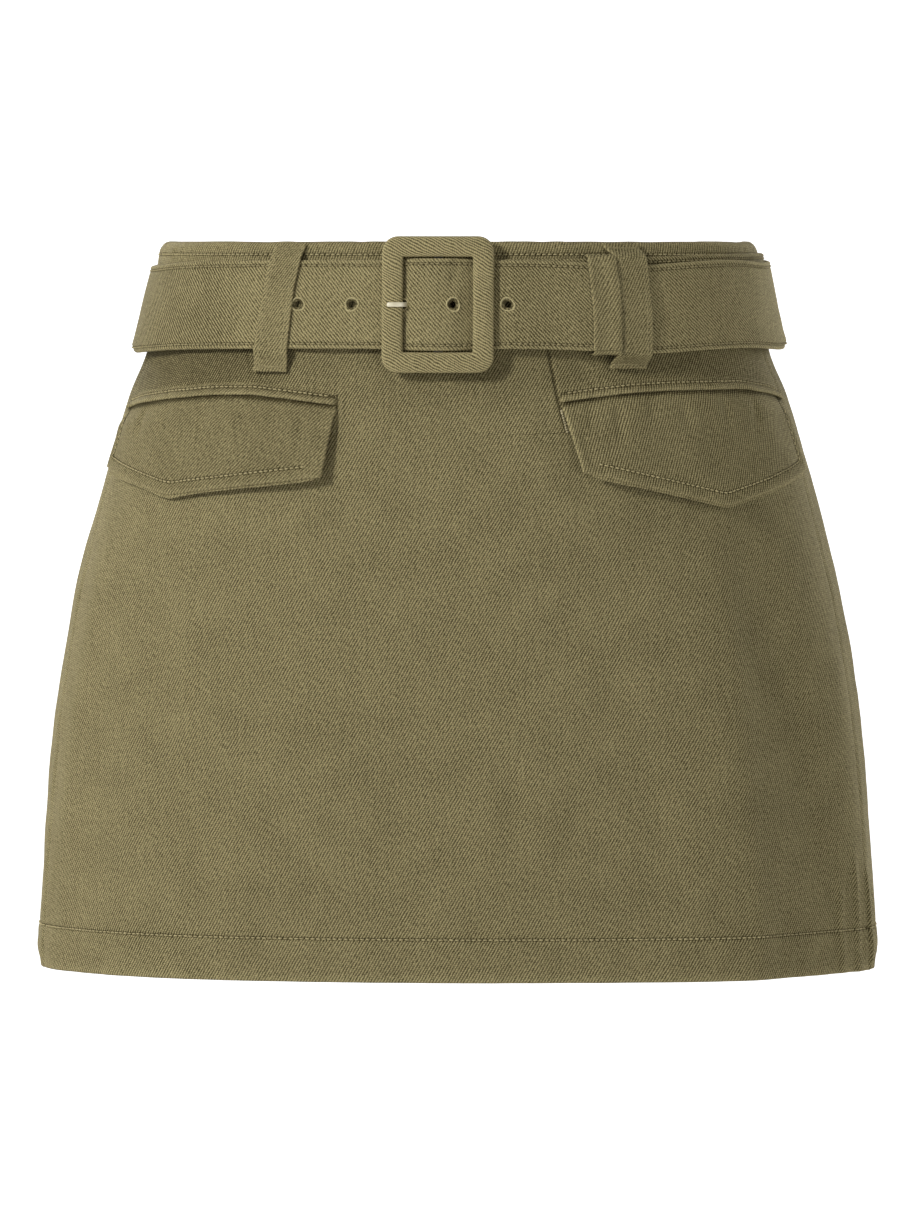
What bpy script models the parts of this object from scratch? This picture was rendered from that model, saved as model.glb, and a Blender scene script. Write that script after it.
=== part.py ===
"""A belted mini skort in olive cotton twill, as it stands filled out when worn.

Frame: metres, +Z up, -Y to the front, +X to the side of the belt's tail.
The origin is the centre of the waist opening, level with the waist edge.

Every piece is placed on the body that the garment is cut for:
  arc   millimetres round the body from the centre front, towards +X
  drop  millimetres below the waist edge
  out   millimetres out from the cloth's outer face, along the body's level normal

Pieces: waistband (front, back), skirt panels (front, back), two pocket flaps with
their welts, five belt loops, belt strap, belt keeper, covered buckle with its centre
bar and prong, and the inner shorts in four panels.
"""

import math
from collections import namedtuple
from functools import lru_cache

import bmesh
import bpy
import numpy as np
from mathutils import Vector

MM = 0.001
SEAM_GAP = 0.3  # between pieces that are sewn together
PATCH_GAP = 0.4  # under a piece that lies on a panel

# ---------------------------------------------------------------- driving sizes, mm
SKIRT_LENGTH = 350.0
WAISTBAND_DEPTH = 45.0
CLOTH = 1.2  # wall of one layer of twill
HEM_DEPTH = 20.5
HEM_CLOTH = 2.4  # the hem is turned up inside, so it is two layers
SQUARENESS = 2.25  # 2 is an ellipse; more is squarer
SIDE_SEAM_SHARE = 0.87  # of the way round from the centre front to the widest point

BELT_THICK = 2.2
BELT_WIDTH = 42.0
TAB_THICK = 1.1  # the strap is pared thin where it folds round the buckle's bar
EYELET_RADIUS = 1.5
PRONG_EYELET_RADIUS = 1.8

BUCKLE_WIDTH = 52.0
BUCKLE_HEIGHT = 64.5
BUCKLE_BAR = 9.8  # width of the covered frame's four sides
BUCKLE_CORNER = 7.5
BUCKLE_BACK = 4.6  # out
BUCKLE_FRONT = 9.0  # out
BUCKLE_ROUND = 1.9
BUCKLE_ARC = -4.9  # the buckle sits a little off the centre front
BUCKLE_DROP = 29.6
BUCKLE_INNER_CORNER = 1.0

BAR_WIDTH = 4.0
BAR_BACK, BAR_FRONT = 2.0, 4.2  # out
BAR_OVERLAP = 5.5  # how far the bar reaches behind the frame, top and bottom

PRONG_WIDTH = 2.2
PRONG_THICK = 1.2

FLAP_THICK = 2.0
WELT_HEIGHT = 2.4
WELT_THICK = 1.3
LOOP_THICK = 1.4
KEEPER_THICK = 1.1

SHORTS_CLOTH = 1.0
CROTCH_DROP = 222.0
RISE_START = 110.0  # the centre seams begin to curve in towards the crotch here
SHORTS_LENGTH = 302.0
LEG_HEM_DEPTH = 14.0
LEG_HEM_CLOTH = 2.0

# ---------------------------------------------------------------- tables, mm
Body = namedtuple("Body", "drop half_width front_depth back_depth")
BODY = (
    Body(0, 143.8, 103.4, 103.8),
    Body(8, 145.0, 104.4, 105.0),
    Body(22, 147.4, 106.2, 107.2),
    Body(37, 149.9, 107.9, 109.4),
    Body(51, 152.4, 109.7, 111.6),
    Body(60, 154.8, 111.1, 113.4),
    Body(86, 162.6, 114.6, 118.4),
    Body(122, 172.4, 117.4, 121.6),
    Body(159, 181.8, 118.6, 122.6),
    Body(188, 187.6, 119.0, 122.6),
    Body(217, 192.2, 119.3, 122.2),
    Body(261, 197.2, 119.8, 121.6),
    Body(304, 200.8, 120.5, 121.6),
    Body(350, 203.4, 121.5, 122.0),
)

# The largest soft folds of the skirt. A place is a share of the way round: 0 is the
# centre front, 1 and -1 the widest points and 2 the centre back. Height is out.
Fold = namedtuple("Fold", "share_top share_hem top hem half_width height")
FOLDS = (
    Fold(0.62, 0.76, 130, 350, 17, -2.4),
    Fold(0.80, 0.90, 140, 350, 13, 1.2),
    Fold(-0.66, -0.74, 150, 350, 18, -1.4),
    Fold(-0.84, -0.90, 130, 350, 14, 0.9),
    Fold(1.22, 1.30, 140, 350, 20, -2.0),
    Fold(1.52, 1.58, 170, 350, 24, -1.5),
    Fold(-1.20, -1.27, 130, 350, 19, -1.8),
    Fold(-1.46, -1.50, 180, 350, 22, -1.6),
)

# The waistband's section, from its outer lower edge over the rolled top to the inside.
Profile = namedtuple("Profile", "drop out")
WAISTBAND_PROFILE = (
    Profile(WAISTBAND_DEPTH, 0.0),
    Profile(8.0, 0.0),
    Profile(3.0, -0.8),
    Profile(0.6, -2.2),
    Profile(0.0, -3.4),
    Profile(1.0, -4.7),
    Profile(8.0, -3.2),
    Profile(WAISTBAND_DEPTH, -2.6),
)

# The belt's centre line from the fold on the buckle's bar, round the body and through
# the buckle to the tip of the tail. Arc runs on past a full turn. Lean is how much
# further out than the centre line the lower edge stands, and the upper edge less far.
Strap = namedtuple("Strap", "arc out thick centre_drop lean")
BELT_FOLD = (
    Strap(1.5, 4.6, TAB_THICK, 29.6, 0),
    Strap(-1.6, 5.1, TAB_THICK, 29.6, 0),
    Strap(-4.9, 5.2, TAB_THICK, 29.6, 0),
    Strap(-7.4, 5.15, TAB_THICK, 29.6, 0),
    Strap(-8.6, 4.4, TAB_THICK, 29.6, 0),
    Strap(-8.9, 3.1, TAB_THICK, 29.6, 0),
    Strap(-8.5, 1.9, TAB_THICK, 29.6, 0),
    Strap(-7.3, 1.15, TAB_THICK, 29.6, 0),
    Strap(-4.9, 0.95, TAB_THICK, 29.6, 0),
)
BELT_ROUND = (
    Strap(6.0, 0.95, TAB_THICK, 29.5, 0),
    Strap(19.0, 1.0, TAB_THICK, 29.4, 0),
    Strap(30.0, 1.75, BELT_THICK, 29.2, 0),
    Strap(48.0, 1.9, BELT_THICK, 29.0, 0),
    Strap(60.0, 3.05, BELT_THICK, 28.9, 0),
    Strap(80.0, 3.05, BELT_THICK, 28.8, 0),
    Strap(96.0, 1.75, BELT_THICK, 28.3, 0),
    Strap(125.0, 1.75, BELT_THICK, 27.3, 0.2),
    Strap(175.0, 1.9, BELT_THICK, 26.4, 0.5),
    Strap(205.0, 2.1, BELT_THICK, 26.4, 0.7),
    Strap(240.0, 1.9, BELT_THICK, 26.8, 0.4),
    Strap(330.0, 1.75, BELT_THICK, 27.4, 0),
    Strap(410.0, 1.75, BELT_THICK, 27.8, 0),
    Strap(520.0, 1.9, BELT_THICK, 29.4, 0.2),
    Strap(590.0, 2.9, BELT_THICK, 31.4, 1.2),
    Strap(620.0, 3.4, BELT_THICK, 32.4, 1.7),
    Strap(650.0, 3.1, BELT_THICK, 32.4, 1.3),
    Strap(690.0, 2.0, BELT_THICK, 30.6, 0.4),
    Strap(735.0, 1.75, BELT_THICK, 29.8, 0),
    Strap(775.0, 1.9, BELT_THICK, 29.6, 0),
)
BELT_THROUGH_BUCKLE = (  # arcs here are from the centre front
    Strap(-31.0, 2.9, BELT_THICK, 29.6, 0),
    Strap(-25.5, 3.1, BELT_THICK, 29.6, 0),
    Strap(-22.0, 3.3, BELT_THICK, 29.6, 0),
    Strap(-19.0, 4.5, BELT_THICK, 29.6, 0),
    Strap(-15.0, 6.2, BELT_THICK, 29.6, 0),
    Strap(-10.0, 7.05, BELT_THICK, 29.6, 0),
    Strap(-4.9, 7.25, BELT_THICK, 29.6, 0),
    Strap(-1.0, 7.1, BELT_THICK, 29.6, 0),
    Strap(2.0, 6.6, BELT_THICK, 29.6, 0),
    Strap(6.5, 5.1, BELT_THICK, 29.6, 0),
    Strap(10.5, 3.5, BELT_THICK, 29.6, 0),
    Strap(16.0, 3.0, BELT_THICK, 29.6, 0),
)
BELT_TAIL = (  # arcs here are from the centre front
    Strap(23.0, 3.25, BELT_THICK, 29.6, 0),
    Strap(31.0, 4.35, BELT_THICK, 29.6, 0),
    Strap(48.0, 4.4, BELT_THICK, 29.9, 0),
    Strap(60.0, 5.6, BELT_THICK, 30.4, 0),
    Strap(80.0, 5.6, BELT_THICK, 31.2, 0),
    Strap(96.0, 4.35, BELT_THICK, 31.8, 0),
    Strap(125.0, 4.35, BELT_THICK, 30.2, 0.2),
    Strap(150.0, 4.3, BELT_THICK, 29.6, 0.4),
    Strap(180.0, 4.6, BELT_THICK, 30.8, 0.6),
    Strap(205.0, 4.7, BELT_THICK, 30.4, 0.7),
    Strap(230.0, 4.4, BELT_THICK, 29.8, 0.4),
    Strap(262.0, 4.3, BELT_THICK, 28.8, 0.1),
)
BELT_TIP_ARC = 286.0
BELT_LEVEL = 29.6  # arcs along the belt are measured round the body at this drop
EYELET_ARCS = (-71.8, -45.6, -19.05, 1.9, 27.6)
PRONG_EYELET = 2

# The prong's wire, from its curl round the bar to its tip on the frame's side.
Wire = namedtuple("Wire", "arc out")
PRONG_PATH = (
    Wire(-5.2, 5.25),
    Wire(-3.0, 5.25),
    Wire(-1.7, 4.6),
    Wire(-1.5, 3.1),
    Wire(-1.9, 1.7),
    Wire(-3.2, 0.95),
    Wire(-5.2, 0.92),
    Wire(-10.0, 0.92),
    Wire(-14.5, 1.3),
    Wire(-17.2, 2.4),
    Wire(-18.8, 4.0),
    Wire(-19.8, 5.7),
    Wire(-20.15, 7.2),
    Wire(-20.8, 8.9),
    Wire(-22.2, 9.85),
    Wire(-24.4, 10.0),
    Wire(-28.2, 9.95),
)
PRONG_SLOT_ARCS = (-10.2, -0.5)  # cut through the fold for the prong
PRONG_SLOT_HALF_HEIGHT = 1.6

# A belt loop: where its two edges run, and its lie: 0 on the garment, 1 over the belt.
Loop = namedtuple("Loop", "drop edge_a edge_b lie")
LOOP_LEFT = (
    Loop(0.6, -83.8, -68.6, 0.0),
    Loop(3.4, -84.4, -69.2, 0.05),
    Loop(5.2, -84.9, -69.6, 0.6),
    Loop(7.2, -85.3, -70.0, 1.0),
    Loop(20.0, -88.4, -73.0, 1.0),
    Loop(32.0, -90.6, -74.8, 1.0),
    Loop(44.0, -92.6, -76.0, 1.0),
    Loop(52.0, -93.8, -76.9, 1.0),
    Loop(54.4, -94.2, -77.2, 0.5),
    Loop(56.6, -94.8, -77.6, 0.05),
    Loop(61.8, -95.6, -78.2, 0.0),
)
LOOP_RIGHT = (
    Loop(0.6, 72.6, 88.2, 0.0),
    Loop(3.0, 73.8, 88.6, 0.05),
    Loop(4.6, 76.0, 89.0, 0.4),
    Loop(6.6, 78.4, 89.8, 1.0),
    Loop(20.0, 79.6, 91.4, 1.0),
    Loop(32.0, 80.2, 92.8, 1.0),
    Loop(53.2, 80.2, 93.4, 1.0),
    Loop(55.4, 78.6, 93.3, 0.45),
    Loop(57.0, 76.8, 93.2, 0.05),
    Loop(60.2, 76.8, 93.0, 0.0),
)
LOOP_OUT = 1.15  # out of a loop's centre line where it lies on the garment
LOOP_CLEAR = 0.6  # between a loop and the belt that it holds
BACK_LOOP_HALF_WIDTH = 8.5
BackLoop = namedtuple("BackLoop", "name share layers")  # share of the way to the centre back
BACK_LOOPS = (
    BackLoop("belt_loop_back_right", 0.665, 2),
    BackLoop("belt_loop_back_centre", 1.0, 1),
    BackLoop("belt_loop_back_left", 1.335, 1),
)

# The keeper round both layers of the belt: its middle arc at each drop.
KEEPER_TOP, KEEPER_BOTTOM = 6.2, 53.6
KEEPER_ARC_TOP, KEEPER_ARC_BOTTOM = 69.2, 72.8
KEEPER_HALF_WIDTH = 5.6
KEEPER_BACK_OUT, KEEPER_FRONT_OUT = 0.4, 8.5

# The pocket mouths (the welt's lower edge) and the flaps' lower edges.
Line = namedtuple("Line", "arc drop")
MOUTH_LEFT = (
    Line(-53.0, 76.6), Line(-85.0, 73.5), Line(-113.0, 72.3),
    Line(-140.0, 74.0), Line(-161.0, 76.2), Line(-190.5, 79.4),
)
MOUTH_RIGHT = (
    Line(53.0, 75.6), Line(73.0, 72.6), Line(119.0, 69.8),
    Line(156.0, 70.4), Line(178.0, 72.8), Line(189.5, 75.6),
)
Flap = namedtuple("Flap", "front point side point_share lift_front lift_side")
FLAP_LEFT = Flap(Line(-58.8, 111.2), Line(-140.5, 120.6), Line(-198.5, 108.4), 0.56, 3.6, 0.4)
FLAP_RIGHT = Flap(Line(62.6, 108.8), Line(135.5, 125.4), Line(198.5, 109.6), 0.53, 4.2, 0.4)

# How far the shorts hang inside the skirt's outer face, and the legs' inner seams.
Ease = namedtuple("Ease", "drop ease inseam leg_depth")
SHORTS_EASE = (
    Ease(46, 1.7, 0.4, 96),
    Ease(80, 2.6, 0.4, 98),
    Ease(120, 5.0, 0.4, 99),
    Ease(170, 9.5, 0.5, 100),
    Ease(222, 16.0, 1.2, 98),
    Ease(262, 21.0, 5.0, 95),
    Ease(302, 26.0, 9.0, 92),
)

OLIVE = (0.180, 0.156, 0.080)
OLIVE_BELT = (0.186, 0.160, 0.083)
OLIVE_LINING = (0.160, 0.140, 0.075)
PRONG_CREAM = (0.80, 0.77, 0.66)


# ---------------------------------------------------------------- lookups
def smooth(rows, column, at):
    """A column's value at a place between a table's rows, on a smooth curve."""
    places = np.array([row[0] for row in rows], float)
    values = np.array([getattr(row, column) for row in rows], float)
    slopes = np.gradient(values, places)
    at = min(max(at, places[0]), places[-1])
    k = min(max(int(np.searchsorted(places, at)) - 1, 0), len(places) - 2)
    span = places[k + 1] - places[k]
    t = (at - places[k]) / span
    start = (2 * t**3 - 3 * t**2 + 1) * values[k] + (t**3 - 2 * t**2 + t) * span * slopes[k]
    end = (3 * t**2 - 2 * t**3) * values[k + 1] + (t**3 - t**2) * span * slopes[k + 1]
    return start + end


def ease_in(t):
    """0 to 1 with level ends."""
    t = min(max(t, 0.0), 1.0)
    return t * t * (3 - 2 * t)


@lru_cache(maxsize=None)
def section(drop):
    """The body's level section: arcs from the centre front, points and outward normals."""
    half, front, back = (smooth(BODY, c, drop) for c in Body._fields[1:])
    turn = np.linspace(0.0, math.pi, 721)
    depth = np.where(turn < math.pi / 2, front, back)
    reach = (np.abs(np.sin(turn)) / half) ** SQUARENESS + (np.abs(np.cos(turn)) / depth) ** SQUARENESS
    reach = reach ** (-1 / SQUARENESS)
    x, y = reach * np.sin(turn), -reach * np.cos(turn)
    arc = np.concatenate([[0.0], np.cumsum(np.hypot(np.diff(x), np.diff(y)))])
    along_x, along_y = np.gradient(x, arc), np.gradient(y, arc)
    size = np.hypot(along_x, along_y)
    return arc, x, y, along_y / size, -along_x / size


def quarter(drop):
    """The arc from the centre front to the widest point."""
    return float(section(round(drop, 2))[0][360])


def half_round(drop):
    """The arc from the centre front to the centre back."""
    return float(section(round(drop, 2))[0][-1])


def seam_arc(drop):
    return SIDE_SEAM_SHARE * quarter(drop)


def body_point(arc, drop, out):
    """The point at an arc, a drop and a distance out. An arc may run past a full turn."""
    arcs, x, y, normal_x, normal_y = section(round(drop, 2))
    whole = 2 * arcs[-1]
    arc = (arc + arcs[-1]) % whole - arcs[-1]
    px, py, nx, ny = (float(np.interp(abs(arc), arcs, v)) for v in (x, y, normal_x, normal_y))
    side = 1.0 if arc >= 0 else -1.0
    return Vector((side * (px + out * nx), py + out * ny, -drop)) * MM


def belt_point(arc, drop, out):
    """As body_point, with the arc measured at the belt's own level, so it stays upright."""
    return body_point(arc * half_round(drop) / half_round(BELT_LEVEL), drop, out)


def share_of(arc, drop):
    """Where an arc lies: 0 centre front, 1 widest point, 2 centre back."""
    side = 1.0 if arc >= 0 else -1.0
    arc, front, whole = abs(arc), quarter(drop), half_round(drop)
    return side * (arc / front if arc < front else 1 + (arc - front) / (whole - front))


def drape(arc, drop):
    """How far the soft folds push the skirt's cloth out."""
    whole = half_round(drop)
    arc = (arc + whole) % (2 * whole) - whole
    share, push = share_of(arc, drop), 0.0
    for fold in FOLDS:
        down = (drop - fold.top) / (fold.hem - fold.top)
        middle = fold.share_top + (fold.share_hem - fold.share_top) * down
        away = (share - middle) * quarter(drop) / fold.half_width
        push += fold.height * ease_in(down * 2.2) * math.exp(-away * away)
    return push


def skirt_point(arc, drop, out):
    return body_point(arc, drop, out + drape(arc, drop))


# ---------------------------------------------------------------- building solids
def material(name, colour, roughness, metallic=0.0):
    made = bpy.data.materials.new(name)
    made.use_nodes = True
    shader = made.node_tree.nodes["Principled BSDF"]
    shader.inputs["Base Color"].default_value = (*colour, 1.0)
    shader.inputs["Roughness"].default_value = roughness
    shader.inputs["Metallic"].default_value = metallic
    made.diffuse_color = (*colour, 1.0)
    return made


def mesh_object(name, points, faces, finish):
    mesh = bpy.data.meshes.new(name)
    mesh.from_pydata([tuple(p) for p in points], [], faces)
    work = bmesh.new()
    work.from_mesh(mesh)
    bmesh.ops.recalc_face_normals(work, faces=work.faces)
    work.to_mesh(mesh)
    work.free()
    mesh.shade_smooth()
    mesh.set_sharp_from_angle(angle=math.radians(35))
    mesh.materials.append(finish)
    made = bpy.data.objects.new(name, mesh)
    bpy.context.collection.objects.link(made)
    return made


def ring_solid(name, rings, finish):
    """A solid through closed rings of points, with a flat cap at each end."""
    count = len(rings[0])
    points = [p for ring in rings for p in ring]
    faces = []
    for r in range(len(rings) - 1):
        for k in range(count):
            after = (k + 1) % count
            faces.append((r * count + k, r * count + after, (r + 1) * count + after, (r + 1) * count + k))
    faces.append(tuple(range(count)))
    faces.append(tuple((len(rings) - 1) * count + k for k in reversed(range(count))))
    return mesh_object(name, points, faces, finish)


def loop_solid(name, rings, finish):
    """A solid through closed rings of points whose last ring joins its first."""
    count, total = len(rings[0]), len(rings)
    points = [p for ring in rings for p in ring]
    faces = []
    for r in range(total):
        after_ring = (r + 1) % total
        for k in range(count):
            after = (k + 1) % count
            corners = (r * count + k, r * count + after, after_ring * count + after, after_ring * count + k)
            faces.append(corners)
    return mesh_object(name, points, faces, finish)


def wall(name, outer, inner, finish):
    """A closed wall between two grids of points, both split along the same diagonals."""
    rows, columns = len(outer), len(outer[0])
    points = [p for row in outer for p in row] + [p for row in inner for p in row]
    layer = rows * columns
    faces = []
    for r in range(rows - 1):
        for c in range(columns - 1):
            a, b, d, e = (
                r * columns + c, r * columns + c + 1, (r + 1) * columns + c + 1, (r + 1) * columns + c
            )
            faces += [(a, b, d), (a, d, e)]
            faces += [(layer + d, layer + b, layer + a), (layer + e, layer + d, layer + a)]
    rim = [c for c in range(columns)]
    rim += [r * columns + columns - 1 for r in range(1, rows)]
    rim += [(rows - 1) * columns + c for c in reversed(range(columns - 1))]
    rim += [r * columns for r in reversed(range(1, rows - 1))]
    for a, b in zip(rim, rim[1:] + rim[:1]):
        faces.append((b, a, layer + a, layer + b))
    return mesh_object(name, points, faces, finish)


def curve_through(rows, step):
    """Rows of numbers on a smooth curve through the given rows, at most step apart."""
    given = [np.array(row, float) for row in rows]
    given = [2 * given[0] - given[1]] + given + [2 * given[-1] - given[-2]]
    found = []
    for k in range(1, len(given) - 2):
        before, start, end, after = given[k - 1 : k + 3]
        pieces = max(1, math.ceil(np.hypot(*(end - start)[:2]) / step))
        reach = np.hypot(*(end - start)[:2])
        leave = (end - before) * reach / (reach + np.hypot(*(start - before)[:2]))
        arrive = (after - start) * reach / (reach + np.hypot(*(after - end)[:2]))
        for i in range(pieces):
            t = i / pieces
            found.append(
                (2 * t**3 - 3 * t**2 + 1) * start + (t**3 - 2 * t**2 + t) * leave
                + (3 * t**2 - 2 * t**3) * end + (t**3 - t**2) * arrive
            )
    return found + [given[-2]]


def sides_of(line, thick):
    """The two sides of a flat line of (along, out) points, each with its own thickness."""
    line = np.array(line, float)
    ahead = np.gradient(line, axis=0)
    ahead /= np.linalg.norm(ahead, axis=1)[:, None]
    across = np.stack([-ahead[:, 1], ahead[:, 0]], axis=1)
    half = np.asarray(thick, float)[:, None] / 2
    return line + across * half, line - across * half


def cut_away(target, cutters):
    """Cuts holes with closed meshes, which stay in the file as hidden guides."""
    for cutter in cutters:
        cutter.hide_render = True
        cutter.display_type = "WIRE"
        cut = target.modifiers.new("cut_" + cutter.name, "BOOLEAN")
        cut.operation = "DIFFERENCE"
        cut.object = cutter


# ---------------------------------------------------------------- skirt
def skirt_drops():
    """The rows of a skirt panel, closer where the shape turns, with a step at the hem."""
    top = WAISTBAND_DEPTH + SEAM_GAP
    hem_top = SKIRT_LENGTH - HEM_DEPTH
    return [top, 62, 80, 104, 130, 159, 190, 225, 262, 300, hem_top - 1.5, hem_top, SKIRT_LENGTH]


def skirt_panel(name, arc_from, arc_to, columns, finish):
    """One panel from seam to seam. arc_from and arc_to give its edges at each drop."""
    outer, inner = [], []
    for drop in skirt_drops():
        first, last = arc_from(drop), arc_to(drop)
        arcs = [first + (last - first) * c / columns for c in range(columns + 1)]
        layer = HEM_CLOTH if drop >= SKIRT_LENGTH - HEM_DEPTH else CLOTH
        outer.append([skirt_point(arc, drop, 0.0) for arc in arcs])
        inner.append([skirt_point(arc, drop, -layer) for arc in arcs])
    return wall(name, outer, inner, finish)


def waistband(name, arc_from, arc_to, columns, finish):
    rings = []
    for c in range(columns + 1):
        ring = []
        for place in WAISTBAND_PROFILE:
            first, last = arc_from(place.drop), arc_to(place.drop)
            ring.append(body_point(first + (last - first) * c / columns, place.drop, place.out))
        rings.append(ring)
    return ring_solid(name, rings, finish)


def front_start(drop):
    return -seam_arc(drop) + SEAM_GAP / 2


def front_end(drop):
    return seam_arc(drop) - SEAM_GAP / 2


def back_start(drop):
    return seam_arc(drop) + SEAM_GAP / 2


def back_end(drop):
    return 2 * half_round(drop) - seam_arc(drop) - SEAM_GAP / 2


# ---------------------------------------------------------------- pockets
def on_line(line, arc):
    """The drop of a line at an arc, straight between its rows."""
    rows = sorted(line)
    return float(np.interp(arc, [row.arc for row in rows], [row.drop for row in rows]))


def welt(name, mouth, columns, finish):
    """The raised, stitched edge of the cloth above a pocket flap."""
    rings = []
    for c in range(columns + 1):
        arc = mouth[0].arc + (mouth[-1].arc - mouth[0].arc) * c / columns
        low = on_line(mouth, arc) - SEAM_GAP
        high = low - WELT_HEIGHT
        rings.append([
            skirt_point(arc, high, PATCH_GAP),
            skirt_point(arc, high + 0.5, PATCH_GAP + WELT_THICK * 0.75),
            skirt_point(arc, high + 1.2, PATCH_GAP + WELT_THICK),
            skirt_point(arc, low, PATCH_GAP + WELT_THICK),
            skirt_point(arc, low, PATCH_GAP),
        ])
    return ring_solid(name, rings, finish)


def flap(name, mouth, shape, columns, rows, finish):
    """A pointed flap that hangs from a pocket mouth and stands off at its front corner."""
    outer, inner = [[] for _ in range(rows + 1)], [[] for _ in range(rows + 1)]
    bend = round(columns * shape.point_share)
    for c in range(columns + 1):
        across = c / columns
        top_arc = mouth[0].arc + (mouth[-1].arc - mouth[0].arc) * across
        top_drop = on_line(mouth, top_arc) + SEAM_GAP / 2
        if c <= bend:
            start, end, part = shape.front, shape.point, c / bend
        else:
            start, end, part = shape.point, shape.side, (c - bend) / (columns - bend)
        low_arc = start.arc + (end.arc - start.arc) * part
        low_drop = start.drop + (end.drop - start.drop) * part
        for r in range(rows + 1):
            down = r / rows
            arc = top_arc + (low_arc - top_arc) * down
            drop = top_drop + (low_drop - top_drop) * down
            lift = shape.lift_front * (1 - across) ** 2 + shape.lift_side + 0.5 * (1 - across)
            out = PATCH_GAP + lift * down**1.4
            outer[r].append(skirt_point(arc, drop, out + FLAP_THICK * (0.7 + 0.3 * min(1, 3 * down))))
            inner[r].append(skirt_point(arc, drop, out))
    return wall(name, outer, inner, finish)


# ---------------------------------------------------------------- belt
def ribbon(name, rows, place, finish, across=1):
    """A flat strap. A row is (along, out, thickness, edge_a, edge_b, lean of edge_b)."""
    line = [(row[0], row[1]) for row in rows]
    upper, lower = sides_of(line, [row[2] for row in rows])
    parts = [k / across for k in range(across + 1)]
    rings = []
    for row, high, low in zip(rows, upper, lower):
        edge_a, edge_b, lean = row[3:]
        ring = []
        for (along, out), order in ((high, parts), (low, parts[::-1])):
            ring += [place(along, out + lean * (2 * t - 1), edge_a + (edge_b - edge_a) * t) for t in order]
        rings.append(ring)
    return ring_solid(name, rings, finish)


def belt_strap(finish):
    """The whole strap in one piece: fold, once round the body, through the buckle, tail."""
    turn = 2 * half_round(BELT_LEVEL)
    past = [Strap(row.arc + turn, *row[1:]) for row in BELT_THROUGH_BUCKLE + BELT_TAIL]
    rows = []
    for arc, out, thick, centre, lean in curve_through(BELT_FOLD + BELT_ROUND + tuple(past), 12.0):
        rows.append((arc, out, thick, centre - BELT_WIDTH / 2, centre + BELT_WIDTH / 2, lean))
    end = past[-1]
    tip = BELT_TIP_ARC + turn
    for part in (0.35, 0.7, 0.9, 1.0):  # the tail's tip is rounded
        arc = end.arc + (tip - end.arc) * part
        half = BELT_WIDTH / 2 * (1 - 0.62 * part**3)
        rows.append((arc, end.out, end.thick, end.centre_drop - half, end.centre_drop + half, end.lean))
    strap = ribbon("belt_strap", rows, lambda arc, out, drop: belt_point(arc, drop, out), finish)
    cutters = [eyelet_cutter(k, arc) for k, arc in enumerate(EYELET_ARCS)]
    cutters.append(slot_cutter())
    cut_away(strap, cutters)
    return strap


def eyelet_cutter(index, arc):
    """A round peg through the strap at an eyelet, clear of the layer beneath it."""
    radius = PRONG_EYELET_RADIUS if index == PRONG_EYELET else EYELET_RADIUS
    turn = 2 * half_round(BELT_LEVEL)
    rows = [*BELT_ROUND, *(Strap(row.arc + turn, *row[1:]) for row in BELT_THROUGH_BUCKLE + BELT_TAIL)]
    line = np.array(curve_through(rows, 0.5))  # fine enough to find the eyelet's own place
    at = int(np.abs(line[:, 0] - (arc + turn)).argmin())
    ahead = line[at + 1, :2] - line[at - 1, :2]
    ahead /= np.linalg.norm(ahead)
    rings = []
    for through in (-1.35, 1.6):
        ring = []
        for k in range(12):
            turned = 2 * math.pi * k / 12
            along = radius * math.cos(turned)
            place = line[at, :2] + ahead * along + np.array([-ahead[1], ahead[0]]) * through
            ring.append(belt_point(place[0], BUCKLE_DROP + radius * math.sin(turned), place[1]))
        rings.append(ring)
    return ring_solid(f"cut_eyelet_{index + 1}", rings, None)


def slot_cutter():
    """The slot in the fold that the prong's curl goes through."""
    low, high = BUCKLE_DROP - PRONG_SLOT_HALF_HEIGHT, BUCKLE_DROP + PRONG_SLOT_HALF_HEIGHT
    rings = []
    for out in (-0.2, 5.87):
        rings.append([
            belt_point(PRONG_SLOT_ARCS[0], low, out),
            belt_point(PRONG_SLOT_ARCS[1], low, out),
            belt_point(PRONG_SLOT_ARCS[1], high, out),
            belt_point(PRONG_SLOT_ARCS[0], high, out),
        ])
    return ring_solid("cut_prong_slot", rings, None)


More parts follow.
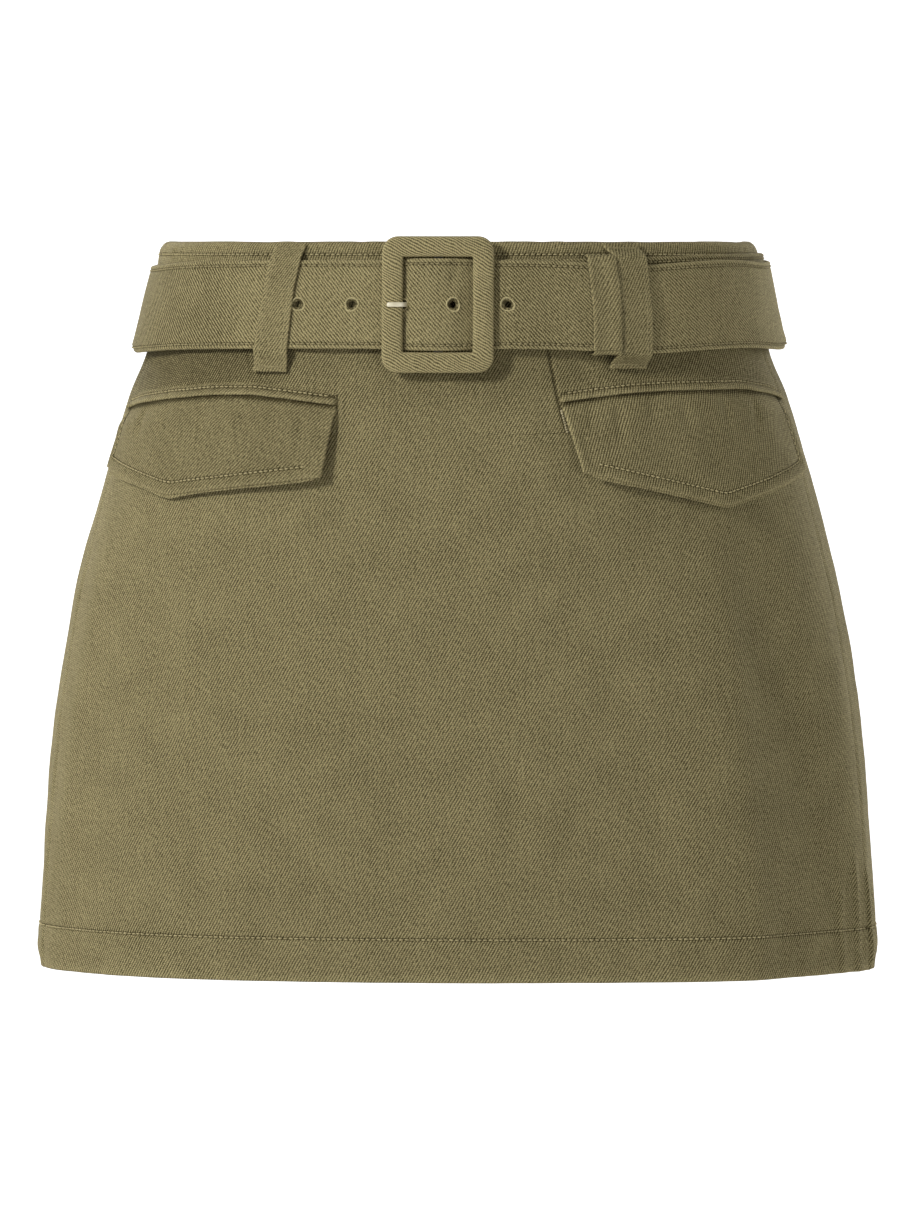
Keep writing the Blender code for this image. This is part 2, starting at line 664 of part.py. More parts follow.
def buckle_frame(finish):
    """A rounded rectangle covered in cloth, bent a little to follow the body."""
    width, height = BUCKLE_WIDTH / 2, BUCKLE_HEIGHT / 2
    outline = []
    for corner, (side_x, side_y) in enumerate(((1, 1), (-1, 1), (-1, -1), (1, -1))):
        for k in range(5):
            turned = math.radians(90 * corner + 22.5 * k)
            unit = np.array([math.cos(turned), math.sin(turned)])
            outer = np.array([side_x * (width - BUCKLE_CORNER), side_y * (height - BUCKLE_CORNER)])
            inset = BUCKLE_BAR + BUCKLE_INNER_CORNER
            inner = np.array([side_x * (width - inset), side_y * (height - inset)])
            outline.append((outer + unit * BUCKLE_CORNER, inner + unit * BUCKLE_INNER_CORNER))
        if corner % 2 == 0:  # a station in the middle of each long reach across the body
            middle = np.array([0.0, side_y * 1.0])
            outline.append((middle * height, middle * (height - BUCKLE_BAR)))
    diagonal = BUCKLE_ROUND * (1 - math.sqrt(0.5))
    rings = []
    for outer, inner in outline:
        reach = float(np.linalg.norm(outer - inner))
        edge = min(BUCKLE_ROUND, 0.45 * reach)
        section_points = [
            (0.0, BUCKLE_BACK + BUCKLE_ROUND), (0.0, BUCKLE_FRONT - BUCKLE_ROUND),
            (diagonal, BUCKLE_FRONT - diagonal), (edge, BUCKLE_FRONT),
            (reach - edge, BUCKLE_FRONT), (reach - diagonal, BUCKLE_FRONT - diagonal),
            (reach, BUCKLE_FRONT - BUCKLE_ROUND), (reach, BUCKLE_BACK + BUCKLE_ROUND),
            (reach - diagonal, BUCKLE_BACK + diagonal), (reach - edge, BUCKLE_BACK),
            (edge, BUCKLE_BACK), (diagonal, BUCKLE_BACK + diagonal),
        ]
        ring = []
        for across, out in section_points:
            place = inner + (outer - inner) * across / reach
            ring.append(body_point(BUCKLE_ARC + place[0], BUCKLE_DROP - place[1], out))
        rings.append(ring)
    return loop_solid("buckle_frame", rings, finish)


def buckle_bar(finish):
    """The flat bar behind the frame that the strap's fold and the prong turn on."""
    opening = BUCKLE_HEIGHT / 2 - BUCKLE_BAR
    rings = []
    for k in range(5):
        drop = BUCKLE_DROP + (opening + BAR_OVERLAP) * (k / 2 - 1)
        rings.append([
            body_point(BUCKLE_ARC - BAR_WIDTH / 2, drop, BAR_BACK),
            body_point(BUCKLE_ARC + BAR_WIDTH / 2, drop, BAR_BACK),
            body_point(BUCKLE_ARC + BAR_WIDTH / 2, drop, BAR_FRONT),
            body_point(BUCKLE_ARC - BAR_WIDTH / 2, drop, BAR_FRONT),
        ])
    return ring_solid("buckle_bar", rings, finish)


def prong(finish):
    """A flat wire, curled round the bar, up through an eyelet and on to the frame."""
    line = [tuple(p) for p in curve_through(PRONG_PATH, 2.4)]
    upper, lower = sides_of(line, [PRONG_THICK] * len(line))
    half, edge = PRONG_WIDTH / 2, 0.35
    rings = []
    for high, low in zip(upper, lower):
        ring = []
        for side, (arc, out) in ((-1, high), (1, high), (1, low), (-1, low)):
            middle = ((high[0] + low[0]) / 2, (high[1] + low[1]) / 2)
            ring.append((arc, out, side * (half - edge)))
            if (side, tuple((arc, out))) in ((1, tuple(high)), (-1, tuple(low))):
                ring.append((*middle, side * half))
        rings.append([belt_point(arc, BUCKLE_DROP + side, out) for arc, out, side in ring])
    return ring_solid("buckle_prong", rings, finish)


def keeper(finish):
    """A closed cloth band round the strap and the tail, leaning like the belt's edge."""
    middle_drop = (KEEPER_TOP + KEEPER_BOTTOM) / 2
    half_height = (KEEPER_BOTTOM - KEEPER_TOP) / 2
    middle_out = (KEEPER_BACK_OUT + KEEPER_FRONT_OUT) / 2
    half_out = (KEEPER_FRONT_OUT - KEEPER_BACK_OUT) / 2
    path = [
        (-1.0, -0.8), (-1.0, 0.8), (-0.97, 1.0), (-0.3, 1.0), (0.3, 1.0), (0.97, 1.0),
        (1.0, 0.8), (1.0, -0.8), (0.97, -1.0), (0.0, -1.0), (-0.97, -1.0),
    ]
    rings = []
    for down, outward in path:
        drop = middle_drop + half_height * down
        out = middle_out + half_out * outward
        lean = (down + 1) / 2
        arc = KEEPER_ARC_TOP + (KEEPER_ARC_BOTTOM - KEEPER_ARC_TOP) * lean
        inner_drop = middle_drop + (half_height - KEEPER_THICK) * down
        inner_out = middle_out + (half_out - KEEPER_THICK) * outward
        rings.append([
            body_point(arc - KEEPER_HALF_WIDTH, drop, out),
            body_point(arc + KEEPER_HALF_WIDTH, drop, out),
            body_point(arc + KEEPER_HALF_WIDTH, inner_drop, inner_out),
            body_point(arc - KEEPER_HALF_WIDTH, inner_drop, inner_out),
        ])
    return loop_solid("belt_keeper", rings, finish)


def belt_face(arc, layers):
    """How far out the belt's face stands at an arc along it, over one layer or two."""
    table = BELT_TAIL if layers == 2 and arc > 0 else BELT_ROUND
    if arc < 0:
        arc += 2 * half_round(BELT_LEVEL)
    return smooth(table, "out", arc) + abs(smooth(table, "lean", arc)) + BELT_THICK / 2


def belt_loop(name, table, layers, finish):
    """A loop through a table's rows, from the waist edge over the belt to the skirt."""
    middle = (table[0].edge_a + table[-1].edge_b) / 2
    over = belt_face(middle, layers) + LOOP_CLEAR + LOOP_THICK / 2
    rows = []
    for row in table:
        out = LOOP_OUT + (over - LOOP_OUT) * row.lie
        rows.append((row.drop, out, LOOP_THICK, row.edge_a, row.edge_b, 0.0))
    return ribbon(name, rows, lambda drop, out, arc: body_point(arc, drop, out), finish, across=2)


def back_loop(loop, finish):
    """An upright loop with straight edges, over one or two layers of the belt."""
    arc = loop.share * half_round(BELT_LEVEL)
    centre = smooth(BELT_ROUND, "centre_drop", arc)
    low = smooth(BELT_TAIL, "centre_drop", arc) if loop.layers == 2 else centre
    top, bottom = centre - BELT_WIDTH / 2, max(centre, low) + BELT_WIDTH / 2
    lies = (
        (0.6, 0.0), (top - 4.2, 0.05), (top - 2.6, 0.5), (top - 0.9, 1.0), (centre, 1.0),
        (bottom + 0.9, 1.0), (bottom + 2.8, 0.5), (bottom + 4.8, 0.05), (bottom + 10.5, 0.0),
    )
    table = []
    for drop, lie in lies:
        middle = arc * half_round(drop) / half_round(BELT_LEVEL)
        table.append(Loop(drop, middle - BACK_LOOP_HALF_WIDTH, middle + BACK_LOOP_HALF_WIDTH, lie))
    return belt_loop(loop.name, table, loop.layers, finish)


# ---------------------------------------------------------------- inner shorts
def shorts_drops():
    hem_top = SHORTS_LENGTH - LEG_HEM_DEPTH
    top = WAISTBAND_DEPTH + SEAM_GAP + 0.7
    return [top, 80, 112, 140, 166, 190, 208, CROTCH_DROP, 250, hem_top - 1.5, hem_top, SHORTS_LENGTH]


def shorts_point(across, drop, back):
    """A point of one leg's front or back panel: across is 0 at the side seam, 1 at the inner seam."""
    ease = smooth(SHORTS_EASE, "ease", drop)
    whole, front = half_round(drop), quarter(drop)
    arc = front + (whole - front) * across if back else front * (1 - across)
    upper = body_point(arc, drop, -ease) / MM
    side = body_point(front, drop, -ease).x / MM
    inseam = smooth(SHORTS_EASE, "inseam", drop)
    depth = smooth(SHORTS_EASE, "leg_depth", drop)
    turned = math.pi * across
    lower = Vector((
        (side + inseam) / 2 + (side - inseam) / 2 * math.cos(turned),
        depth * math.sin(turned) * (1 if back else -1),
        -drop,
    ))
    closed = ease_in((drop - RISE_START) / (CROTCH_DROP - RISE_START))
    return inside_seams(upper.lerp(lower, closed), back)


def inside_seams(place, back):
    """The place, kept on its own side of the centre, side and inner seams."""
    gap = SEAM_GAP / 2
    level = max(place.y, gap) if back else min(place.y, -gap)
    return Vector((max(place.x, gap), level, place.z))


def shorts_panel(name, mirror, back, columns, finish):
    outer, inner = [], []
    for drop in shorts_drops():
        layer = LEG_HEM_CLOTH if drop >= SHORTS_LENGTH - LEG_HEM_DEPTH else SHORTS_CLOTH
        row = [shorts_point(c / columns, drop, back) for c in range(columns + 1)]
        outer_row, inner_row = [], []
        for c, place in enumerate(row):
            before, after = row[max(c - 1, 0)], row[min(c + 1, columns)]
            ahead = (after - before).normalized()
            inward = Vector((-ahead.y, ahead.x, 0.0)) * (1 if back else -1)
            inset = inside_seams(place + inward * layer, back)
            outer_row.append(Vector((mirror * place.x, place.y, place.z)) * MM)
            inner_row.append(Vector((mirror * inset.x, inset.y, inset.z)) * MM)
        outer.append(outer_row)
        inner.append(inner_row)
    return wall(name, outer, inner, finish)


# ---------------------------------------------------------------- the garment
def build():
    for old in list(bpy.data.objects):
        bpy.data.objects.remove(old, do_unlink=True)

    twill = material("olive_twill", OLIVE, 0.85)
    belt_twill = material("olive_belt_twill", OLIVE_BELT, 0.85)
    lining = material("olive_shorts_cloth", OLIVE_LINING, 0.9)
    covered = material("buckle_covered_twill", OLIVE_BELT, 0.8)
    metal = material("buckle_bar_metal", (0.55, 0.54, 0.50), 0.4, 1.0)
    cream = material("prong_cream_metal", PRONG_CREAM, 0.35, 0.3)

    skirt_panel("skirt_front", front_start, front_end, 30, twill)
    skirt_panel("skirt_back", back_start, back_end, 32, twill)
    waistband("waistband_front", front_start, front_end, 24, twill)
    waistband("waistband_back", back_start, back_end, 28, twill)

    welt("pocket_welt_left", MOUTH_LEFT, 12, twill)
    welt("pocket_welt_right", MOUTH_RIGHT, 12, twill)
    flap("pocket_flap_left", MOUTH_LEFT, FLAP_LEFT, 14, 4, twill)
    flap("pocket_flap_right", MOUTH_RIGHT, FLAP_RIGHT, 14, 4, twill)

    belt_strap(belt_twill)
    buckle_frame(covered)
    buckle_bar(metal)
    prong(cream)
    keeper(belt_twill)
    belt_loop("belt_loop_front_left", LOOP_LEFT, 1, twill)
    belt_loop("belt_loop_front_right", LOOP_RIGHT, 2, twill)
    for loop in BACK_LOOPS:
        back_loop(loop, twill)

    for side, mirror in (("right", 1), ("left", -1)):
        shorts_panel(f"shorts_front_{side}", mirror, False, 10, lining)
        shorts_panel(f"shorts_back_{side}", mirror, True, 10, lining)


build()
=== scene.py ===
"""The looks of the belted mini skort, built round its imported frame.

Every cloth piece is placed on the body that the garment is cut for:
  arc   millimetres round the body from the centre front, towards +X
  drop  millimetres below the waist edge
  out   millimetres out from the cloth's outer face, along the body's level normal
"""

import math
from collections import namedtuple

import bmesh
import bpy
import numpy as np
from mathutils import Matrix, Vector


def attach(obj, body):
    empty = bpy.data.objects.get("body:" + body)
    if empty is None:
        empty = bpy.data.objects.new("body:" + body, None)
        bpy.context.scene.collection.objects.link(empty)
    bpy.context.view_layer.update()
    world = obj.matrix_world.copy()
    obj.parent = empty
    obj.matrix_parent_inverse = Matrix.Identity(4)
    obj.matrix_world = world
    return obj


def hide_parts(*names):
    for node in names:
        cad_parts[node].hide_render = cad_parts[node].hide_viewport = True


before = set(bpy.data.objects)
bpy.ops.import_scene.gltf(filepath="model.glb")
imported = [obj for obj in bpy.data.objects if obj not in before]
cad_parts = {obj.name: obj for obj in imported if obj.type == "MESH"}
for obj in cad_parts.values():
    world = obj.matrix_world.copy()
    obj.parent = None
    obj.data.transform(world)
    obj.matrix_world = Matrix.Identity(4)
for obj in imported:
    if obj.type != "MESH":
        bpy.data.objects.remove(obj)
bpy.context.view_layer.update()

MM = 0.001

# ---------------------------------------------------------------- the garment's sizes, mm
SKIRT_LENGTH = 350.0
WAISTBAND_DEPTH = 45.0
CLOTH = 1.2
HEM_DEPTH = 20.5
HEM_TOP = SKIRT_LENGTH - HEM_DEPTH
HEM_CLOTH = 2.4
SQUARENESS = 2.25
SIDE_SEAM_SHARE = 0.87
BELT_THICK = 2.2
BELT_WIDTH = 42.0
HALF_BELT = BELT_WIDTH / 2
TAB_THICK = 1.1
BELT_LEVEL = 29.6
BELT_STITCH_INSET = 2.5
BUCKLE_DROP = 29.6
BUCKLE_ARC = -4.9
LOOP_THICK = 1.4
LOOP_OUT = 1.15
LOOP_CLEAR = 0.6
FLAP_THICK = 2.0
PATCH_GAP = 0.4
BUCKLE_WIDTH, BUCKLE_HEIGHT, BUCKLE_BAR = 52.0, 64.5, 9.8
BUCKLE_CORNER, BUCKLE_INNER_CORNER = 7.5, 0.9
BUCKLE_BACK, BUCKLE_FRONT = 4.6, 9.0
PRONG_WIDTH, PRONG_THICK = 2.2, 1.2
KEEPER_TOP, KEEPER_BOTTOM = 6.2, 53.6
KEEPER_ARC_TOP, KEEPER_ARC_BOTTOM = 70.0, 73.6
KEEPER_HALF_WIDTH, KEEPER_THICK = 6.5, 1.1
KEEPER_BACK_OUT, KEEPER_FRONT_OUT = 0.4, 8.5
KEEPER_BOW, KEEPER_RISE = 1.2, 1.3
SHORTS_CLOTH, SHORTS_LENGTH = 1.0, 302.0
LEG_HEM_DEPTH, LEG_HEM_CLOTH, SHORTS_SEAM = 14.0, 2.0, 0.02
CROTCH_DROP, RISE_START = 222.0, 110.0
STITCH_PITCH = 2.65
STITCH_LENGTH = 1.95
# Rows of topstitching: how far each lies in from its own edge.
WAIST_ROW, WELT_ROW, FLAP_ROW, FLAP_FRONT_ROW, LOOP_ROW = 6.0, 3.6, 5.9, 6.6, 2.6
NO_ROW = 9.0  # stands for a place that no row is near
SEAM_GAP = 0.03
SEAM_MARGIN = 1.0 - SEAM_GAP / 2  # rows stop this far from a side seam's cut edge


def rows(kind, given):
    """A table of named rows."""
    return tuple(kind(*row) for row in given)


Body = namedtuple("Body", "drop half_width front_depth back_depth")
BODY = rows(Body, [
    (0, 143.8, 103.4, 103.8), (8, 145.0, 104.4, 105.0), (22, 147.4, 106.2, 107.2),
    (37, 149.9, 107.9, 109.4), (51, 152.4, 109.7, 111.6), (60, 154.8, 111.1, 113.4),
    (86, 162.6, 114.6, 118.4), (122, 172.4, 117.4, 121.6), (159, 181.8, 118.6, 122.6),
    (188, 187.6, 119.0, 122.6), (217, 192.2, 119.3, 122.2), (261, 197.2, 119.8, 121.6),
    (304, 200.8, 120.5, 121.6), (350, 203.4, 121.5, 122.0),
])

# The largest soft folds. A place is a share of the way round: 0 is the centre front,
# 1 and -1 the widest points and 2 the centre back.
Fold = namedtuple("Fold", "share_top share_hem top hem half_width height")
FOLDS = rows(Fold, [
    (0.62, 0.76, 130, 350, 17, -2.4), (0.80, 0.90, 140, 350, 13, 1.2), (-0.66, -0.74, 150, 350, 18, -1.4),
    (-0.84, -0.90, 130, 350, 14, 0.9), (1.22, 1.30, 140, 350, 20, -2.0), (1.52, 1.58, 170, 350, 24, -1.5),
    (-1.20, -1.27, 130, 350, 19, -1.8), (-1.46, -1.50, 180, 350, 22, -1.6),
])

# Creases: soft strokes along a path of (arc, drop) points.
Stroke = namedtuple("Stroke", "path width height")
STROKES = rows(Stroke, [
    (((146, 118), (154, 170), (163, 217), (174, 254), (184, 290), (190, 330)), 18, -1.4),
    (((205, 300), (206, 326), (208, 360)), 2.0, 1.3), (((216, 288), (219, 322), (221, 360)), 1.8, 1.5),
    (((227, 292), (231, 326), (233, 360)), 1.7, 1.3), (((238, 300), (240, 330), (241, 360)), 1.8, 1.1),
    (((-191, 130), (-194, 172), (-201, 210), (-208, 249), (-214, 312)), 9, 1.0),
    (((-152, 145), (-150, 194), (-140, 246), (-124, 296)), 14, -1.5),
    (((-12, 144), (10, 142), (36, 142)), 5, -0.7),
    (((-10, 171), (18, 172), (44, 168)), 5, -0.4),
    (((102, 158), (83, 174), (70, 190), (48, 204), (34, 215), (8, 224)), 3.6, -0.6),
    (((96, 172), (78, 190), (60, 205), (36, 222)), 8, 0.7),
    (((-32, 238), (-25, 263), (-15, 292)), 6, -0.8),
    (((28, 238), (31, 263), (32, 280), (41, 295)), 5, -0.9),
    (((40, 240), (46, 268), (52, 296)), 9, 0.8),
    (((-126, 240), (-110, 269), (-90, 292)), 8, -0.9),
    (((-152, 260), (-126, 289), (-98, 305)), 8, -0.9),
    (((-92, 258), (-75, 287), (-52, 308)), 7, -0.8),
    (((91, 244), (99, 278), (118, 306)), 9, -1.0),
    (((-62, 50), (-49, 61), (-38, 72)), 4, -0.7),
    (((-44, 50), (-36, 58), (-28, 66)), 4.5, 0.5),
    (((-32, 64), (-18, 71), (4, 68)), 5, -0.7),
    (((59, 55), (66, 62), (69, 67)), 3.4, -0.9),
    (((70, 124), (97, 128), (126, 133)), 5, 0.4),
    (((-74, 121), (-51, 131), (-20, 131)), 6, 0.45),
    (((-72, 146), (-49, 188), (-46, 220)), 10, -0.8),
    (((20, 84), (26, 100), (40, 116)), 9, -0.4),
    (((-34, 92), (-20, 108), (8, 116)), 10, -0.45),
    # the sides and the back
    (((225, 96), (228, 150), (238, 210), (246, 300)), 10, 1.26),
    (((252, 120), (262, 190), (272, 250), (280, 320)), 12, -1.68),
    (((300, 88), (306, 140), (318, 190)), 9, -1.26),
    (((330, 92), (352, 128), (366, 160)), 9, 0.98),
    (((368, 70), (392, 92), (420, 104)), 7, -1.12),
    (((470, 66), (450, 90), (424, 106)), 7, -0.98),
    (((398, 150), (424, 162), (452, 158)), 6, -0.84),
    (((372, 196), (402, 214), (440, 220), (470, 212)), 6, -0.7),
    (((352, 250), (364, 286), (384, 316)), 7, -0.84),
    (((486, 240), (478, 280), (462, 312)), 6, -0.84),
    (((-225, 100), (-230, 160), (-240, 220), (-246, 306)), 11, 1.12),
    (((-250, 118), (-264, 190), (-274, 252), (-281, 322)), 12, -1.54),
    (((-296, 84), (-304, 132), (-320, 184)), 9, -1.12),
    (((-372, 74), (-398, 96), (-424, 100)), 7, -0.98),
    (((-356, 226), (-372, 268), (-380, 306)), 7, -0.84),
])

Profile = namedtuple("Profile", "drop out")
WAISTBAND_PROFILE = rows(Profile, [
    (WAISTBAND_DEPTH, 0.0), (24.0, 0.0), (9.0, 0.0), (6.6, -0.08), (6.0, -0.22), (5.4, -0.08),
    (4.2, -0.1), (2.6, -0.45), (1.3, -1.15), (0.4, -2.15), (0.0, -3.2), (0.35, -4.2), (1.3, -4.75),
    (3.0, -4.75), (8.0, -3.4), (24.0, -2.8), (WAISTBAND_DEPTH, -2.6),
])

Strap = namedtuple("Strap", "arc out thick centre_drop lean")


def straps(thick, given):
    """The belt's course, from rows of (arc, out, centre_drop, lean)."""
    return rows(Strap, [(arc, out, thick, centre_drop, lean) for arc, out, centre_drop, lean in given])


BELT_FOLD = straps(TAB_THICK, [
    (1.5, 4.6, 29.6, 0), (-1.6, 5.1, 29.6, 0), (-4.9, 5.2, 29.6, 0), (-7.4, 5.15, 29.6, 0),
    (-8.6, 4.4, 29.6, 0), (-8.9, 3.1, 29.6, 0), (-8.5, 1.9, 29.6, 0), (-7.3, 1.15, 29.6, 0),
    (-4.9, 0.95, 29.6, 0),
])
BELT_ROUND = straps(TAB_THICK, [(6.0, 0.95, 29.5, 0), (19.0, 1.0, 29.4, 0)])
BELT_ROUND += straps(BELT_THICK, [
    (30.0, 1.75, 29.2, 0), (48.0, 1.9, 29.0, 0), (60.0, 3.05, 28.9, 0), (80.0, 3.05, 28.8, 0),
    (96.0, 1.75, 28.3, 0), (125.0, 1.75, 27.3, 0.2), (175.0, 1.9, 26.4, 0.5), (205.0, 2.1, 26.4, 0.7),
    (240.0, 1.9, 26.8, 0.4), (330.0, 1.75, 27.4, 0), (410.0, 1.75, 27.8, 0), (520.0, 1.9, 29.4, 0.2),
    (590.0, 2.9, 31.4, 1.2), (620.0, 3.4, 32.4, 1.7), (650.0, 3.1, 32.4, 1.3), (690.0, 2.0, 30.6, 0.4),
    (735.0, 1.75, 29.8, 0), (775.0, 1.9, 29.6, 0),
])
BELT_THROUGH_BUCKLE = straps(BELT_THICK, [  # arcs here are from the centre front
    (-31.0, 2.9, 29.6, 0), (-25.5, 3.1, 29.6, 0), (-22.0, 3.3, 29.6, 0), (-19.0, 4.5, 29.6, 0),
    (-15.0, 6.2, 29.6, 0), (-10.0, 7.05, 29.6, 0), (-4.9, 7.25, 29.6, 0), (-1.0, 7.1, 29.6, 0),
    (2.0, 6.6, 29.6, 0), (6.5, 5.1, 29.6, 0), (10.5, 3.5, 29.6, 0), (16.0, 3.0, 29.6, 0),
])
BELT_TAIL = straps(BELT_THICK, [  # arcs here are from the centre front
    (23.0, 3.25, 29.6, 0), (31.0, 4.35, 29.6, 0), (48.0, 4.4, 29.9, 0), (60.0, 5.6, 30.4, 0),
    (80.0, 5.6, 31.2, 0), (96.0, 4.35, 31.8, 0), (125.0, 4.35, 30.2, 0.2), (150.0, 4.3, 29.6, 0.4),
    (180.0, 4.6, 30.8, 0.6), (205.0, 4.7, 30.4, 0.7), (230.0, 4.4, 29.8, 0.4), (262.0, 4.3, 28.8, 0.1),
])
BELT_TIP_ARC = 286.0
EYELET_ARCS = (-71.8, -45.6, -20.6, 1.9, 27.6)
PRONG_EYELET = 2
EYELET_HOLE, EYELET_CUT = 1.55, 2.9  # radii of its open middle and of the cut in the strap's cloth

Loop = namedtuple("Loop", "drop edge_a edge_b lie")
LOOP_LEFT = rows(Loop, [
    (0.6, -83.8, -68.6, 0.0), (3.4, -84.4, -69.2, 0.05), (5.2, -84.9, -69.6, 0.6),
    (7.2, -85.3, -70.0, 1.0), (20.0, -88.4, -73.0, 1.0), (32.0, -90.6, -74.8, 1.0),
    (44.0, -92.6, -76.0, 1.0), (52.0, -93.8, -76.9, 1.0), (54.4, -94.2, -77.2, 0.5),
    (56.6, -94.8, -77.6, 0.05), (61.8, -95.6, -78.2, 0.0),
])
LOOP_RIGHT = rows(Loop, [
    (0.6, 72.6, 90.3, 0.0), (3.0, 73.4, 90.7, 0.05), (4.6, 75.0, 91.1, 0.4), (6.6, 76.8, 91.9, 1.0),
    (20.0, 78.2, 93.6, 1.0), (32.0, 78.9, 95.0, 1.0), (53.2, 78.9, 95.4, 1.0), (55.4, 77.8, 95.3, 0.45),
    (57.0, 76.8, 95.2, 0.05), (60.2, 76.8, 95.0, 0.0),
])
BACK_LOOP_HALF_WIDTH = 8.5
BackLoop = namedtuple("BackLoop", "name share layers")
BACK_LOOPS = rows(BackLoop, [
    ("belt_loop_back_right", 0.665, 2), ("belt_loop_back_centre", 1.0, 1),
    ("belt_loop_back_left", 1.335, 1),
])

# The prong's wire, from its curl round the bar to its tip on the frame's side: (arc, out).
PRONG_PATH = (
    (-5.2, 5.25), (-3.0, 5.25), (-1.7, 4.6), (-1.5, 3.1), (-1.9, 1.7), (-3.2, 0.95), (-5.2, 0.92),
    (-10.0, 0.92), (-14.5, 1.3), (-17.2, 2.4), (-18.8, 4.0), (-19.8, 5.7), (-20.15, 7.2),
    (-20.8, 8.9), (-22.2, 9.85), (-24.4, 10.0), (-28.2, 9.95),
)

Ease = namedtuple("Ease", "drop ease inseam leg_depth")
SHORTS_EASE = rows(Ease, [
    (46, 1.7, 0.4, 96), (80, 2.6, 0.4, 98), (120, 5.0, 0.4, 99), (170, 9.5, 0.5, 100),
    (222, 16.0, 1.2, 98), (262, 21.0, 5.0, 95), (302, 26.0, 9.0, 92),
])

Line = namedtuple("Line", "arc drop")
MOUTH_LEFT = rows(Line, [
    (-190.5, 79.4), (-161.0, 76.2), (-140.0, 74.0), (-113.0, 72.3), (-85.0, 73.5), (-53.0, 76.6),
])
MOUTH_RIGHT = rows(Line, [
    (53.0, 75.6), (73.0, 72.6), (119.0, 69.8), (156.0, 70.4), (178.0, 72.8), (189.5, 75.6),
])
Flap = namedtuple("Flap", "front point side lift_front lift_side")
FLAP_LEFT = Flap(Line(-58.8, 111.2), Line(-140.5, 120.6), Line(-198.5, 108.4), 4.4, 1.3)
FLAP_RIGHT = Flap(Line(62.6, 108.8), Line(135.5, 125.4), Line(198.5, 109.6), 5.2, 1.3)


# ---------------------------------------------------------------- numbers
def bend(t, start, end, leave, arrive):
    """From start to end on a smooth curve, setting off and arriving in given directions."""
    return (
        (2 * t**3 - 3 * t**2 + 1) * start + (t**3 - 2 * t**2 + t) * leave
        + (3 * t**2 - 2 * t**3) * end + (t**3 - t**2) * arrive
    )


def curve(rows, column, at):
    """A column's values between a table's rows, on a smooth curve."""
    places = np.array([row[0] for row in rows], float)
    values = np.array([getattr(row, column) for row in rows], float)
    slopes = np.gradient(values, places)
    at = np.clip(np.asarray(at, float), places[0], places[-1])
    k = np.clip(np.searchsorted(places, at) - 1, 0, len(places) - 2)
    span = places[k + 1] - places[k]
    t = (at - places[k]) / span
    return bend(t, values[k], values[k + 1], span * slopes[k], span * slopes[k + 1])


def bell(distance, width):
    """1 at no distance, dying away softly over a width."""
    return np.exp(-((distance / width) ** 2))


def unit(vectors):
    """The same directions, of length 1."""
    return vectors / np.linalg.norm(vectors, axis=-1, keepdims=True)


def lengths(points):
    """How far along a broken line each of its points is."""
    return np.concatenate([[0.0], np.cumsum(np.linalg.norm(np.diff(points, axis=0), axis=-1))])


def between(at, places, values):
    """The rows of a table of values at other places than its own."""
    return np.stack([np.interp(at, places, column) for column in values.T], axis=1)


def paired(u, v):
    """Rows of (u, v), as for flat cloth coordinates."""
    return np.stack(np.broadcast_arrays(u, v), axis=-1)


def square_to(ahead):
    """Flat directions turned by a quarter turn, of length 1."""
    ahead = unit(ahead)
    return np.stack([-ahead[:, 1], ahead[:, 0]], axis=1)


def rounded(turned, power):
    """The two coordinates of a rounded square, for angles round it."""
    return (np.sign(v) * np.abs(v) ** power for v in (np.cos(turned), np.sin(turned)))


def ease(t):
    """0 to 1 with level ends."""
    t = np.clip(t, 0.0, 1.0)
    return t * t * (3 - 2 * t)


def wander(u, v, size_u, size_v, seed):
    """Smooth, even-looking unevenness between about -1 and 1, at a size in each direction."""
    lattice = np.random.default_rng(seed).uniform(-1, 1, (64, 64))
    u, v = np.asarray(u, float) / size_u + 17.3, np.asarray(v, float) / size_v + 29.1
    iu, iv = np.floor(u).astype(int), np.floor(v).astype(int)
    fu, fv = ease(u - iu), ease(v - iv)
    a, b = lattice[iu % 64, iv % 64], lattice[(iu + 1) % 64, iv % 64]
    c, d = lattice[iu % 64, (iv + 1) % 64], lattice[(iu + 1) % 64, (iv + 1) % 64]
    return (a * (1 - fu) + b * fu) * (1 - fv) + (c * (1 - fu) + d * fu) * fv


def to_path(u, v, path):
    """Distance from points to a broken line, and how far along it the nearest place is."""
    path = np.array(path, float)
    ends = lengths(path)
    best = np.full(np.shape(u), 1e9)
    along = np.zeros(np.shape(u))
    for (u0, v0), (u1, v1), start, step in zip(path, path[1:], ends, np.diff(ends)):
        t = np.clip(((u - u0) * (u1 - u0) + (v - v0) * (v1 - v0)) / step**2, 0, 1)
        away = np.hypot(u - u0 - t * (u1 - u0), v - v0 - t * (v1 - v0))
        nearer = away < best
        best = np.where(nearer, away, best)
        along = np.where(nearer, (start + t * step) / ends[-1], along)
    return best, along


def dips(arc, drop, centres, width, depth):
    """Short soft dimples that run down from a seam, each (arc, top, length, weight, lean)."""
    total = np.zeros(np.broadcast(arc, drop).shape)
    for middle, top, length, weight, lean in centres:
        down = (drop - top) / length
        fade = ease(down * 4) * ease((1 - down) / 0.6)
        total += weight * fade * bell(arc - middle - lean * (drop - top), width)
    return -depth * total


# ---------------------------------------------------------------- the body
LEVELS = np.arange(-8.0, 357.0)


